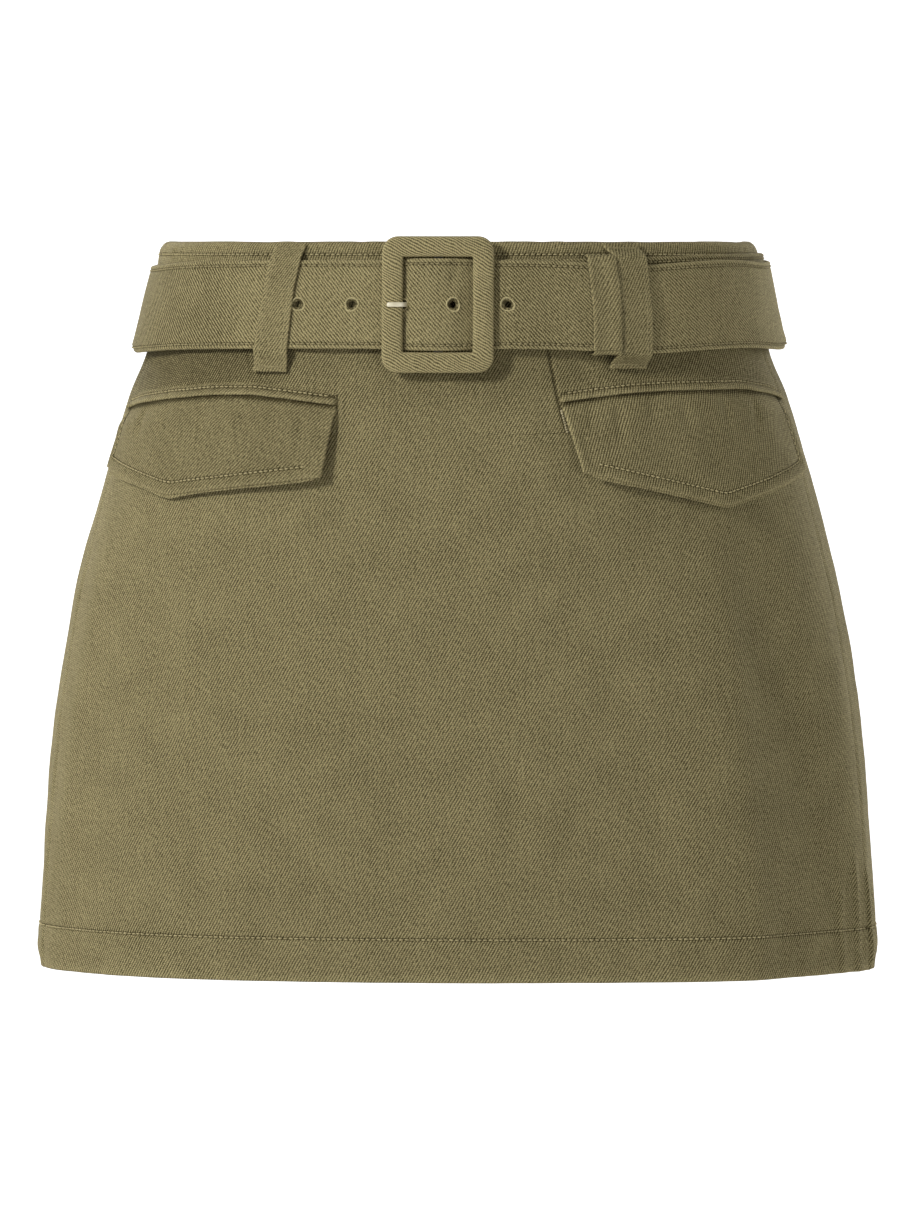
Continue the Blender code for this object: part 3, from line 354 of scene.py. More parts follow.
def body_sections():
    """Level sections of the body, one a millimetre: arcs, points and normals."""
    turn = np.linspace(0.0, math.pi, 721)
    half, front, back = (curve(BODY, c, LEVELS)[:, None] for c in Body._fields[1:])
    depth = np.where(turn < math.pi / 2, front, back)
    reach = (np.abs(np.sin(turn)) / half) ** SQUARENESS + (np.abs(np.cos(turn)) / depth) ** SQUARENESS
    reach = reach ** (-1 / SQUARENESS)
    x, y = reach * np.sin(turn), -reach * np.cos(turn)
    steps = np.hypot(np.diff(x, axis=1), np.diff(y, axis=1))
    arc = np.concatenate([np.zeros((len(LEVELS), 1)), np.cumsum(steps, axis=1)], axis=1)
    along_x, along_y = np.gradient(x, axis=1), np.gradient(y, axis=1)
    size = np.hypot(along_x, along_y)
    return arc, x, y, along_y / size, -along_x / size


ARC, SECTION_X, SECTION_Y, NORMAL_X, NORMAL_Y = body_sections()


def quarter(drop):
    """The arc from the centre front to the widest point."""
    return np.interp(drop, LEVELS, ARC[:, 360])


def half_round(drop):
    """The arc from the centre front to the centre back."""
    return np.interp(drop, LEVELS, ARC[:, -1])


def seam_arc(drop):
    """The arc from the centre front to a side seam."""
    return SIDE_SEAM_SHARE * quarter(drop)


def place(arc, drop, out):
    """Points in metres at an arc, a drop and a distance out. Arcs may run past a full turn."""
    arc, drop, out = np.broadcast_arrays(*(np.asarray(v, float) for v in (arc, drop, out)))
    shape = arc.shape
    arc, drop, out = arc.ravel(), drop.ravel(), out.ravel()
    level = np.clip(drop - LEVELS[0], 0, len(LEVELS) - 1.001)
    below = level.astype(int)
    found = np.zeros((arc.size, 3))
    order = np.argsort(below, kind="stable")
    starts = np.searchsorted(below[order], np.arange(len(LEVELS) + 1))
    for k in np.unique(below):
        at = order[starts[k] : starts[k + 1]]
        part = level[at] - k
        for row, weight in ((k, 1 - part), (k + 1, part)):
            whole = 2 * ARC[row, -1]
            turned = (arc[at] + whole / 2) % whole - whole / 2
            side, away = np.where(turned < 0, -1.0, 1.0), np.abs(turned)
            px, py = np.interp(away, ARC[row], SECTION_X[row]), np.interp(away, ARC[row], SECTION_Y[row])
            nx, ny = np.interp(away, ARC[row], NORMAL_X[row]), np.interp(away, ARC[row], NORMAL_Y[row])
            found[at, 0] += weight * side * (px + out[at] * nx)
            found[at, 1] += weight * (py + out[at] * ny)
    found[:, 2] = -drop
    return (found * MM).reshape(*shape, 3)


def belt_place(arc, drop, out):
    """As place, with the arc measured at the belt's own level, so it stays upright."""
    return place(arc * half_round(drop) / half_round(BELT_LEVEL), drop, out)


# ---------------------------------------------------------------- the skirt's surface
# Lines of (arc, drop): the closure's seam, the left pocket's end, and the right-hand fold's ridge.
GROOVE = ((47.0, 50.0), (49.9, 63.4), (50.9, 70.0), (52.8, 78.0), (56.7, 91.2))
POCKET_END = ((-50.4, 73.5), (-50.9, 84.0), (-52.6, 97.0))
CORNER = ((126, 118), (131, 170), (135, 217), (139, 264), (146, 330))


def beside(line, arc, drop):
    """How far past a line a place is, round the body."""
    arcs, drops = zip(*line)
    return arc - np.interp(drop, drops, arcs)


def relief(arc, drop):
    """How far the skirt's cloth stands out from the plain body, in millimetres."""
    arc, drop = np.broadcast_arrays(np.asarray(arc, float), np.asarray(drop, float))
    whole = half_round(drop)
    arc = (arc + whole) % (2 * whole) - whole
    away, front = np.abs(arc), quarter(drop)
    share = np.where(away < front, away / front, 1 + (away - front) / (whole - front)) * np.sign(arc)
    push = np.zeros(arc.shape)
    for fold in FOLDS:
        down = (drop - fold.top) / (fold.hem - fold.top)
        middle = fold.share_top + (fold.share_hem - fold.share_top) * down
        push += fold.height * ease(down * 2.2) * bell((share - middle) * front, fold.half_width)
    for stroke in STROKES:
        near, along = to_path(arc, drop, stroke.path)
        fade = ease(along / 0.25) * ease((1 - along) / 0.25)
        push += stroke.height * fade * bell(near, stroke.width)
    # the front's right half lies nearly flat as far as a fold, where it turns the corner
    gap = beside(CORNER, arc, drop)
    push += 6.4 * ease((drop - 118) / 80) * bell(gap, np.where(gap < 0, 50, 15))
    # drawn in below the belt, and a soft dent beside the right flap's front corner
    push -= 2.6 * ease((drop - 44) / 6) * ease((76 - drop) / 24)
    push -= 1.6 * np.exp(-(((arc - 63) / 13) ** 2) - ((drop - 116 - 0.2 * (arc - 63)) / 6.5) ** 2)
    # slack in the cloth, larger lower down, and the finer unevenness of washed twill
    slack = ease((drop - 50) / 120)
    push += 0.75 * slack * wander(arc + 0.2 * drop, drop, 46, 70, 11)
    push += 0.40 * wander(arc - 0.5 * drop, drop + 0.3 * arc, 19, 27, 12)
    push += 0.15 * wander(arc + 0.4 * drop, drop - 0.5 * arc, 7, 10, 13)
    # the hem: two layers, stitched down, roping a little
    band = ease((drop - HEM_TOP) / 9)
    skew = arc + 0.45 * (drop - HEM_TOP)
    pull = 0.42 + 0.45 * bell(share - 0.86, 0.16) + 0.12 * bell(share - 0.2, 0.12)
    push += band * pull * wander(skew, drop, 6.5, 60, 14)
    push += 0.35 * ease((drop - HEM_TOP + 1) / 3)
    push -= 0.45 * bell(drop - HEM_TOP, 1.1)
    push += bell(drop - HEM_TOP + 7, 9) * 0.18 * wander(arc, drop, 8, 30, 15)
    # the side seams and the closure's seam lie pressed in
    for side in (-1, 1):
        gap = arc - side * seam_arc(drop)
        push -= 0.22 * bell(gap, 1.2)
        push += (0.45 + 0.15 * wander(drop, 0 * gap + side, 9, 5, 16)) * bell(gap - side * 4.5, 2.6)
    near, along = to_path(arc, drop, GROOVE)
    push -= 0.85 * bell(near, 1.0) * ease((1 - along) / 0.1)
    # the end of the left pocket: a narrow lip with a crease beside it
    for aside, height, falling, width, fade in ((0, 1.0, 0.7, 0.95, 0.3), (2, -0.8, 0, 0.9, 0.2)):
        near, along = to_path(arc + aside, drop, POCKET_END)
        push += (height - falling * along) * bell(near, width) * ease((1 - along) / fade)
    # at the widest points the hem's edge rolls in
    push -= 4.0 * ease((drop - 336) / 15) ** 1.6 * bell(np.abs(share) - 1, 0.10)
    return push


def skirt(arc, drop, out=0.0):
    """Points in metres on the skirt's cloth, or a distance out from it."""
    return place(arc, drop, relief(arc, drop) + out)


# ---------------------------------------------------------------- meshes
def mesh_object(name, points, faces, finish, uv=None, marks=None):
    """A smooth mesh that rides the garment's one body."""
    mesh = bpy.data.meshes.new(name)
    mesh.from_pydata(points.tolist(), [], faces)
    work = bmesh.new()
    work.from_mesh(mesh)
    bmesh.ops.recalc_face_normals(work, faces=work.faces)
    work.to_mesh(mesh)
    work.free()
    if uv is not None:
        layer = mesh.uv_layers.new(name="UVMap")
        corners = np.empty(len(mesh.loops), dtype=np.int32)
        mesh.loops.foreach_get("vertex_index", corners)
        layer.data.foreach_set("uv", uv[corners].astype(np.float32).ravel())
    for mark, values in (marks or {}).items():
        made = mesh.attributes.new(mark, "FLOAT", "POINT")
        made.data.foreach_set("value", np.asarray(values, np.float32).ravel())
    mesh.shade_smooth()
    mesh.set_sharp_from_angle(angle=math.radians(60))
    mesh.materials.append(finish)
    made = bpy.data.objects.new(name, mesh)
    bpy.context.collection.objects.link(made)
    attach(made, "root")
    return made


def rings_object(name, points, finish, uv, marks=None, joined=False, caps="ladder", hole=None):
    """A closed mesh through closed rings of points: points[ring, place on the ring].

    joined joins the last ring to the first. If not, caps says how those two are closed: "ladder"
    pairs a ring's first point with its last, "strip" its second with its last, and "polygon"
    makes one face. hole says which faces are left out, from their centres.
    """
    rings, count = points.shape[:2]
    index = np.arange(rings * count).reshape(rings, count)
    below = np.roll(index, -1, axis=0) if joined else index[1:]
    top = index if joined else index[:-1]
    quads = np.stack([top, np.roll(top, -1, axis=1), np.roll(below, -1, axis=1), below], axis=-1)
    quads = quads.reshape(-1, 4)
    if hole is not None:
        quads = quads[~hole(points.reshape(-1, 3)[quads].mean(axis=1))]
    faces = quads.tolist()
    if not joined:
        for ring, step in ((index[0].tolist(), 1), (index[-1].tolist(), -1)):
            if caps == "polygon":
                faces.append(ring[::-step])
                continue
            far = [ring[-k if caps == "strip" else count - 1 - k] for k in range(count // 2 + 1)]
            for k in range(1 if caps == "strip" else 0, count // 2 - 1):
                faces.append([ring[k], far[k], far[k + 1], ring[k + 1]][::step])
            if caps == "strip":
                middle = count // 2
                faces.append([ring[0], ring[-1], ring[1]][::step])
                faces.append([ring[middle], ring[middle - 1], ring[middle + 1]][::step])
    marks = {k: np.broadcast_to(v, (rings, count)) for k, v in (marks or {}).items()}
    return mesh_object(name, points.reshape(-1, 3), faces, finish, uv.reshape(-1, 2) * MM, marks)


def two_faces(upper, lower):
    """A cloth's rings: its upper face's points, then its lower face's, the other way round."""
    return np.concatenate([upper, lower[:, ::-1]], axis=1)


def spaced(first, last, step):
    """Even steps from first to last, none longer than step."""
    return np.linspace(first, last, max(2, int(math.ceil(abs(last - first) / step)) + 1))


# ---------------------------------------------------------------- materials
DARK, LIGHT = (0.044, 0.035, 0.014), (0.410, 0.350, 0.178)  # the olive twill's two ends


class Nodes:
    """A short way to write a material's nodes."""

    def __init__(self, name):
        self.material = bpy.data.materials.new(name)
        self.material.use_nodes = True
        self.tree = self.material.node_tree
        self.shader = self.tree.nodes["Principled BSDF"]

    def add(self, kind, **settings):
        node = self.tree.nodes.new(kind)
        for key, value in settings.items():
            setattr(node, key, value)
        return node

    def put(self, socket, value):
        if isinstance(value, bpy.types.NodeSocket):
            self.tree.links.new(value, socket)
        else:
            socket.default_value = value

    def fill(self, node, values):
        for socket, value in zip(node.inputs, values):
            self.put(socket, value)
        return node.outputs[0]

    def look(self, **settings):
        """The finish itself, by its inputs' names, such as Base_Color."""
        for name, value in settings.items():
            self.put(self.shader.inputs[name.replace("_", " ")], value)

    def math(self, operation, a, b=0.0, c=0.0, clamp=False):
        node = self.add("ShaderNodeMath", operation=operation, use_clamp=clamp)
        return self.fill(node, (a, b, c))

    def sum(self, *values):
        total = values[0]
        for value in values[1:]:
            total = self.math("ADD", total, value)
        return total

    def times(self, a, b):
        return self.math("MULTIPLY", a, b)

    def map(self, value, low, high, to_low=0.0, to_high=1.0, soft=False):
        node = self.add("ShaderNodeMapRange", interpolation_type="SMOOTHSTEP" if soft else "LINEAR")
        return self.fill(node, (value, low, high, to_low, to_high))

    def noise(self, vector, scale, detail=2.0, rough=0.5):
        node = self.add("ShaderNodeTexNoise", noise_dimensions="3D")
        given = {"Vector": vector, "Scale": scale, "Detail": detail, "Roughness": rough}
        for name, value in given.items():
            self.put(node.inputs[name], value)
        return node.outputs["Fac"]

    def mark(self, name):
        return self.add("ShaderNodeAttribute", attribute_name=name).outputs["Fac"]

    def combine(self, x, y, z=0.0):
        return self.fill(self.add("ShaderNodeCombineXYZ"), (x, y, z))

    def separate(self, vector):
        """A vector's three numbers."""
        node = self.add("ShaderNodeSeparateXYZ")
        self.put(node.inputs[0], vector)
        return node.outputs

    def mix(self, part, a, b):
        node = self.add("ShaderNodeMix", data_type="RGBA")
        for socket, value in (("Factor", part), (6, (*a, 1)), (7, (*b, 1))):
            self.put(node.inputs[socket], value)
        return node.outputs[2]

    def bump(self, height_mm):
        node = self.add("ShaderNodeBump")
        for name, value in {"Strength": 1.0, "Distance": MM, "Height": height_mm}.items():
            self.put(node.inputs[name], value)
        self.look(Normal=node.outputs[0])


def twill(
    name, angle, dark=DARK, light=LIGHT, pitch=1.27, marks=(), tone=0.44, sway=0.9, ribs=0.98, rough=1.2
):
    """Washed cotton twill. Its ridges rise to the right at an angle in degrees from level.

    pitch is the ridges' spacing in millimetres and sway how far they wander. ribs is how strongly
    they show and rough how much the yarns vary. marks are per-point distances in millimetres from
    a row of topstitching, where the cloth is drawn in and darkened with painted shade.
    """
    n = Nodes(name)
    split = n.separate(n.add("ShaderNodeUVMap", uv_map="UVMap").outputs[0])
    u, v = (n.times(split[k], 1 / MM) for k in range(2))
    place_mm = n.combine(u, v)
    lean = math.radians(angle)
    across = n.sum(n.times(u, -math.sin(lean)), n.times(v, math.cos(lean)))
    along = n.sum(n.times(u, math.cos(lean)), n.times(v, math.sin(lean)))
    drift = n.noise(place_mm, 0.10, 2.0)
    phase = n.times(n.sum(across, n.times(drift, sway)), 2 * math.pi / pitch)
    ridge = n.math("POWER", n.map(n.math("SINE", phase), -1.0, 1.0), 1.5)
    beads = n.map(n.math("SINE", n.sum(n.times(along, 2 * math.pi / 1.05), n.times(phase, 0.5))), -1.0, 1.0)
    weave = n.times(ridge, n.map(beads, 0.0, 1.0, 0.45, 1.0))
    yarn = n.noise(n.combine(n.times(across, 1.5), n.times(along, 0.55)), 1.0, 2.0, 0.6)
    warp = n.noise(n.combine(n.times(u, 1.3), n.times(v, 0.05), 3.0), 1.0, 3.0, 0.6)
    fuzz = n.noise(place_mm, 2.5, 2.0, 0.7)
    mottle = n.noise(place_mm, 0.05, 3.0, 0.5)

    def around(value, weight):
        return n.map(value, 0.0, 1.0, -weight, weight)

    # the per-point mark adds worn paleness, and also painted highlights and painted shade
    tone = n.sum(
        tone - 0.02 - 0.3 * ribs, n.times(weave, ribs), around(yarn, 0.55 * rough),
        around(warp, 0.16 * rough), around(fuzz, 0.75 * rough), around(mottle, 0.11), n.mark("wear_and_painted_light"),
    )
    height = n.sum(n.times(weave, 0.10), n.times(yarn, 0.10), n.times(fuzz, 0.07))
    for mark in marks:
        away = n.math("ABSOLUTE", n.mark(mark))
        dip = n.map(away, 0.3, 1.0, 1.0, 0.0, soft=True)
        height = n.sum(height, n.times(dip, -0.25))
        # painted shade: the cloth is darkened in the dip beside a stitch row or groove
        tone = n.sum(tone, n.times(dip, -0.34))
    n.look(Base_Color=n.mix(n.math("ADD", tone, 0.0, clamp=True), dark, light))
    n.look(Roughness=0.9, Sheen_Weight=0.03, Sheen_Tint=(*light, 1), Specular_IOR_Level=0.08)
    n.bump(height)
    return n.material


def thread(name, dark, light):
    """Sewing thread, with lighter and darker stretches."""
    n = Nodes(name)
    where = n.add("ShaderNodeTexCoord").outputs["Object"]
    tone = n.noise(where, 900.0, 2.0)
    tone = n.math("ADD", n.map(tone, 0.3, 0.7), n.mark("wear_and_painted_light"), clamp=True)
    n.look(Base_Color=n.mix(tone, dark, light), Roughness=0.8, Specular_IOR_Level=0.15)
    n.bump(n.times(n.noise(where, 2500.0, 1.0), 0.06))
    return n.material


def hard(name, dark, light, roughness, metallic, scale, dent):
    """A hard, slightly uneven finish."""
    n = Nodes(name)
    where = n.add("ShaderNodeTexCoord").outputs["Object"]
    tone = n.noise(where, scale, 3.0)
    n.look(Base_Color=n.mix(n.map(tone, 0.3, 0.7), dark, light), Metallic=metallic)
    n.look(Roughness=n.map(tone, 0.2, 0.8, roughness - 0.06, roughness + 0.08))
    n.bump(n.times(n.noise(where, scale * 4, 2.0), dent))
    return n.material


skirt_twill = twill("skirt_twill", 60, marks=("hem", "groove"))
flap_twill_left = twill("flap_twill_left", 46, marks=("stitch",), tone=0.37, ribs=0.62, rough=1.05)
flap_twill_right = twill("flap_twill_right", 72, marks=("stitch",), tone=0.42, ribs=0.90, rough=1.05)
band_twill = twill("band_twill", 71, marks=("stitch",), ribs=0.85)
belt_twill = twill("belt_twill", -48, marks=("stitch",), tone=0.51)
loop_twill = twill("loop_twill", -30, pitch=1.25, ribs=0.80, rough=1.05)
keeper_twill = twill("keeper_twill", 60, ribs=0.78, rough=1.0)
buckle_twill = twill("buckle_twill", -30, pitch=1.3, tone=0.63, sway=3.4, ribs=1.45, rough=1.0)
shorts_cloth = twill(
    "shorts_cloth", 60, (0.060, 0.050, 0.022), (0.290, 0.250, 0.130), pitch=0.9, ribs=1.3, rough=1.0
)
olive_thread = thread("olive_thread", (0.300, 0.254, 0.128), (0.470, 0.402, 0.213))
belt_thread = thread("belt_thread", (0.215, 0.182, 0.090), (0.340, 0.290, 0.150))
eyelet_thread = thread("eyelet_thread", (0.080, 0.066, 0.028), (0.450, 0.388, 0.205))
cream_thread = thread("cream_thread", (0.34, 0.29, 0.165), (0.56, 0.49, 0.30))
prong_finish = hard("prong_cream", (0.66, 0.60, 0.42), (0.82, 0.76, 0.58), 0.34, 0.2, 400.0, 0.01)
# the bar's metal is darkened as painted shade, for the dark gaps where it shows
bar_finish = hard("bar_metal", (0.20, 0.19, 0.17), (0.30, 0.29, 0.26), 0.45, 1.0, 300.0, 0.01)


# ---------------------------------------------------------------- hiding the CAD node a piece stands for
def dress(piece, node, slot, flat, held="stretched", rests_on=(), **more):
    """Hides the CAD node that a cloth piece stands for."""
    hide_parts(node)


# ---------------------------------------------------------------- skirt panels
def panel_ring():
    """The panel's section: (drop, out) down the outside, round the hem, up the inside."""
    top, near_hem, radius = WAISTBAND_DEPTH + 0.3, SKIRT_LENGTH - 4, HEM_CLOTH / 2
    turn = np.linspace(0, math.pi, 7)
    stretches = (top, 60, 1.6), (60, 322, 1.75), (322, near_hem, 0.85)
    outside = np.concatenate([spaced(*stretch)[:-1] for stretch in stretches])
    doubled = np.append(spaced(near_hem, HEM_TOP + 0.4, 4), HEM_TOP)
    single = np.append(HEM_TOP - 0.4, spaced(HEM_TOP - 4, top, 8))
    drop = np.concatenate([outside, SKIRT_LENGTH - radius + radius * np.sin(turn), doubled, single])
    out = np.concatenate([
        0 * outside, -radius + radius * np.cos(turn),
        np.full(len(doubled), -HEM_CLOTH), np.full(len(single), -CLOTH),
    ])
    return drop, out


def front_edges(drop):
    """The arcs of a front piece's two side edges."""
    edge = seam_arc(drop) - SEAM_GAP / 2
    return -edge, edge


def back_edges(drop):
    """The arcs of a back piece's two side edges."""
    edge = seam_arc(drop) + SEAM_GAP / 2
    return edge, 2 * half_round(drop) - edge


def skirt_panel(name, edges, shares):
    """A panel from seam to seam. shares are its columns, from 0 at one seam to 1."""
    drop, out = panel_ring()
    first, last = edges(drop)
    arc = first + (last - first) * shares[:, None]
    reach = np.broadcast_to(drop, arc.shape)
    down = lengths(paired(drop, out)) + WAISTBAND_DEPTH
    # painted shade on the cloth below the belt, deepest on the left
    turned = np.where(arc > half_round(drop), arc - 2 * half_round(drop), arc)
    painted_yoke_shade = 0.07 + 0.24 * ease((-turned - 70) / 40) * ease((260 + turned) / 80)
    painted_yoke_shade = painted_yoke_shade + 0.05 * ease((turned - 60) / 30)
    worn_edge = 0.12 * bell(np.abs(reach - (SKIRT_LENGTH - 0.6)), 1.6)
    marks = {
        "wear_and_painted_light": worn_edge - painted_yoke_shade * ease((88 - reach) / 24),
        "hem": reach - HEM_TOP,
        "groove": np.where(reach < GROOVE[-1][1], beside(GROOVE, arc, reach), NO_ROW),
    }
    points = skirt(arc, reach, out)
    return rings_object(name, points, skirt_twill, paired(arc, -down), marks, caps="polygon")


def shares_across(width, step, close=()):
    """Columns across a panel, closer at both seams and over some stretches."""
    marks = [0, 0.25, 0.6, 1.0, 1.5, 2.1]
    columns = [*marks, *np.arange(3, width - 3, step), *(width - m for m in marks)]
    for low, high in close:
        columns = [c for c in columns if not low < c < high] + list(np.arange(low, high, 0.6))
    return np.unique(np.array(columns)) / width


FRONT_WIDTH = 2 * seam_arc(200.0)
BACK_WIDTH = 2 * half_round(200.0) - FRONT_WIDTH
FINE_COLUMNS = [(FRONT_WIDTH / 2 + low, FRONT_WIDTH / 2 + high) for low, high in ((-66, -54), (50, 66))]

skirt_front = skirt_panel("skirt_front_cloth", front_edges, shares_across(FRONT_WIDTH, 1.8, FINE_COLUMNS))
skirt_back = skirt_panel("skirt_back_cloth", back_edges, shares_across(BACK_WIDTH, 2.2))
dress(skirt_front, "skirt_front", "twill", (0.465, 0.326), "hung", ["waistband_front_cloth"], area=0.135)
dress(skirt_back, "skirt_back", "twill", (0.605, 0.326), "hung", ["waistband_back_cloth"], area=0.176)


# ---------------------------------------------------------------- waistband
def waistband(name, edges, columns):
    """A waistband from seam to seam: up its face, over the folded top and down inside."""
    knots = np.arange(len(WAISTBAND_PROFILE))
    fine = np.linspace(0, knots[-1], 4 * knots[-1] + 1)
    drop, out = (np.interp(fine, knots, column) for column in zip(*WAISTBAND_PROFILE))
    first, last = edges(drop)
    arc = first + (last - first) * np.linspace(0, 1, columns)[:, None]
    pucker = 0.55 * wander(arc + 0.3 * drop, drop, 4.4, 16, 21) * bell(drop - 4.6, 4)
    pucker = pucker + 0.9 * dips(arc, drop, ((-77, -2, 14, 1, 0.1), (-44, -2, 14, 1, -0.1)), 0.9, 1.0)
    wave = 0.35 * wander(arc, drop, 17, 40, 22) * bell(drop, 12)
    ripple = 0.25 * wander(arc, drop * 0, 11, 5, 23) * bell(drop, 4)
    face = np.arange(len(drop)) < drop.argmin()
    marks = {"wear_and_painted_light": 0.08 * bell(drop - 1, 1.6), "stitch": np.where(face, drop - WAIST_ROW, NO_ROW)}
    points = place(arc, drop + ripple, out + pucker + wave)
    return rings_object(name, points, band_twill, paired(arc, lengths(paired(drop, out))), marks)


waistband_front = waistband("waistband_front_cloth", front_edges, 260)
waistband_back = waistband("waistband_back_cloth", back_edges, 220)
dress(waistband_front, "waistband_front", "twill", (0.352, 0.047))
dress(waistband_back, "waistband_back", "twill", (0.452, 0.047))


# ---------------------------------------------------------------- stitches
STITCH_SHAPE = np.array([-0.5, -0.38, 0.0, 0.38, 0.5])  # places along one stitch
STITCH_RISE = np.array([-0.22, 0.45, 1.0, 0.45, -0.22])
STITCH_GIRTH = np.array([0.35, 0.85, 1.0, 0.85, 0.35])[:, None, None]
STITCH_SIDES = 6


def stitch_row(
    name, points, outward, finish, slot="twill",
    pitch=STITCH_PITCH, length=STITCH_LENGTH, width=0.78, proud=0.40,
):
    """Separate raised stitches along a line of points, each dipping into the cloth at its ends."""
    ends = lengths(points) / MM
    turn = np.arange(STITCH_SIDES) * 2 * math.pi / STITCH_SIDES
    wide, high = np.cos(turn) * width / 2 * MM, np.sin(turn) * proud * 0.8 * MM
    every = []
    for k, start in enumerate(np.arange(0.4, ends[-1] - length, pitch)):
        at = start + length * (STITCH_SHAPE + 0.5)
        centre, normal = (between(at, ends, given) for given in (points, outward))
        normal = unit(normal)
        side = unit(np.cross(normal, unit(centre[-1] - centre[0])))
        slant = 0.10 * math.sin(k * 2.4)
        centre = centre + normal * (STITCH_RISE * proud * MM)[:, None]
        centre = centre + side * (STITCH_SHAPE * slant * MM)[:, None]
        section = side[:, None] * wide[None, :, None] + normal[:, None] * high[None, :, None]
        every.append(centre[:, None] + section * STITCH_GIRTH)
    index = np.arange(len(every) * 5 * STITCH_SIDES).reshape(len(every), 5, STITCH_SIDES)
    after = np.roll(index, -1, axis=2)
    quads = np.stack([index[:, :-1], after[:, :-1], after[:, 1:], index[:, 1:]], axis=-1).reshape(-1, 4)
    caps = np.concatenate([index[:, 0, ::-1], index[:, -1]])
    made = mesh_object(name, np.array(every).reshape(-1, 3), quads.tolist() + caps.tolist(), finish)
    return made


def facing_out(put, near, far):
    """Points that a placing function gives at one distance out, and the way to a farther one."""
    here = put(near)
    return here, unit(put(far) - here)


def surface_row(name, arc, drop, out=0.1, finish=olive_thread, **sizes):
    """A row of stitches on the skirt."""
    here, outward = facing_out(lambda at: skirt(arc, drop, at), out, np.add(out, 10.0))
    return stitch_row(name, here, outward, finish, **sizes)


# ---------------------------------------------------------------- pockets
def edge_full(distance, radius):
    """How full a cloth's thickness is at a distance in from its rounded edge."""
    t = np.clip(1 - distance / radius, 0, 1)
    return np.sqrt(np.clip(1 - t * t, 0, 1))


# The edge's section: how far above the mouth, and how far out.
WELT_PROFILE = (
    (7.0, -0.3), (5.8, -0.05), (4.8, 0.20), (4.2, 0.26), (3.8, 0.12), (3.5, 0.12), (3.1, 0.6),
    (2.5, 1.35), (1.7, 1.95), (0.9, 2.3), (0.3, 2.3), (-0.15, 1.95), (-0.3, 1.5), (0.1, 1.05),
    (0.8, 0.5), (3.0, -0.5), (5.5, -0.5),
)


def welt(node, mouth, finish):
    """The raised, topstitched edge of the cloth over a pocket's flap."""
    arc = spaced(mouth[0].arc, mouth[-1].arc, 1.5)[:, None]
    inward, out = np.array(WELT_PROFILE).T
    low = curve(mouth, "drop", arc) + 0.5 * wander(arc, 0, 13, 1, 31)
    full = 0.25 + 0.75 * edge_full(np.minimum(arc - mouth[0].arc, mouth[-1].arc - arc), 3.0)
    pucker = 1 + 0.35 * wander(arc, inward, 5.5, 9, 32)
    points = skirt(arc, low - inward, np.where(out > 0, out * full * pucker, out))
    marks = {"stitch": inward - WELT_ROW, "wear_and_painted_light": 0.16 * bell(inward - 0.6, 1.0)}
    made = rings_object(f"{node}_cloth", points, finish, paired(arc, inward - low), marks)
    stitches = surface_row(f"{node}_cloth_stitches", arc[2:-2, 0], low[2:-2, 0] - WELT_ROW, 0.2)
    length = abs(mouth[-1].arc - mouth[0].arc) * MM
    dress(
        made, node, "twill", (length, 0.010), "folded", ["skirt_front_cloth"],
        area=length * 0.008, with_pieces=[stitches],
    )


class FlapShape:
    """Where a pocket flap's cloth lies, from its mouth down to its pointed lower edge.

    across runs from the front edge (0) to the side edge (1) and down from the mouth to the
    lower edge. Arcs are counted away from the centre front on both sides.
    """

    def __init__(self, mouth, shape):
        self.mouth = sorted(Line(abs(row.arc), row.drop) for row in mouth)
        self.corners = [Line(abs(row.arc), row.drop) for row in (shape.front, shape.point, shape.side)]
        self.shape = shape
        self.width = self.corners[-1].arc - self.corners[0].arc

    def top(self, across):
        arc = self.mouth[0].arc + (self.mouth[-1].arc - self.mouth[0].arc) * across
        return arc, curve(self.mouth, "drop", arc)

    def bottom(self, across):
        arcs, drops = zip(*self.corners)
        arc = arcs[0] + self.width * across
        drop = np.interp(arc, arcs, drops)
        for turn in np.linspace(-3, 3, 7):  # rounds the point a little
            drop = drop + np.interp(arc + turn, arcs, drops)
        return arc, drop / 8

    def at(self, across, down):
        (top_arc, top_drop), (low_arc, low_drop) = self.top(across), self.bottom(across)
        return top_arc + (low_arc - top_arc) * down, top_drop + (low_drop - top_drop) * down

    def long(self, across):
        """How far down the cloth reaches from its mouth."""
        return (self.bottom(across)[1] - self.top(across)[1]) * 0.97

    def lift(self, across, down):
        shape = self.shape
        lift = shape.lift_front * (1 - across) ** 2 + shape.lift_side + 0.5 * (1 - across)
        return PATCH_GAP + lift * down**0.9

    def edges(self, across, down):
        """Distances to the lower edge, the front and side edges and the mouth."""
        length = self.long(across)
        return (1 - down) * length, across * self.width, (1 - across) * self.width, down * length


# The under layer's section beside the flap's lower edge: how far below it, and how far out.
FACING_PROFILE = (
    (-4.0, 1.0), (-2.0, 1.0), (0.0, 0.95), (0.5, 0.9), (0.75, 0.75), (0.85, 0.5), (0.75, 0.25),
    (0.5, 0.1), (0.0, 0.05), (-2.0, 0.0), (-4.0, 0.0),
)


def flap_facing(name, form, mirror, seed, finish):
    """The under layer of a flap, whose edge shows a little below the upper one's."""
    across = np.linspace(0.03, 0.97, 110)[:, None]
    beyond, height = np.array(FACING_PROFILE).T
    arc, drop = form.bottom(across)
    shows = (0.55 + 0.5 * wander(arc, 0 * arc, 21, 5, seed)) * ease((1 - np.abs(2 * across - 1)) * 6)
    reach = np.where(beyond > -1.5, beyond + shows, beyond)
    points = skirt(mirror * arc + 0 * reach, drop + reach, form.lift(across, 1.0) + height)
    uv = paired(mirror * arc, -drop - reach - 3)
    marks = {"stitch": np.full(reach.shape, NO_ROW), "wear_and_painted_light": 0.10 + 0 * reach}
    made = rings_object(name, points, finish, uv, marks, caps="polygon")
    return made


def flap_uneven(arc, drop, seed):
    """The soft unevenness of a washed flap's face."""
    return 0.48 * wander(arc, drop, 17, 15, seed) + 0.22 * wander(arc, drop, 6.5, 8, seed + 1)


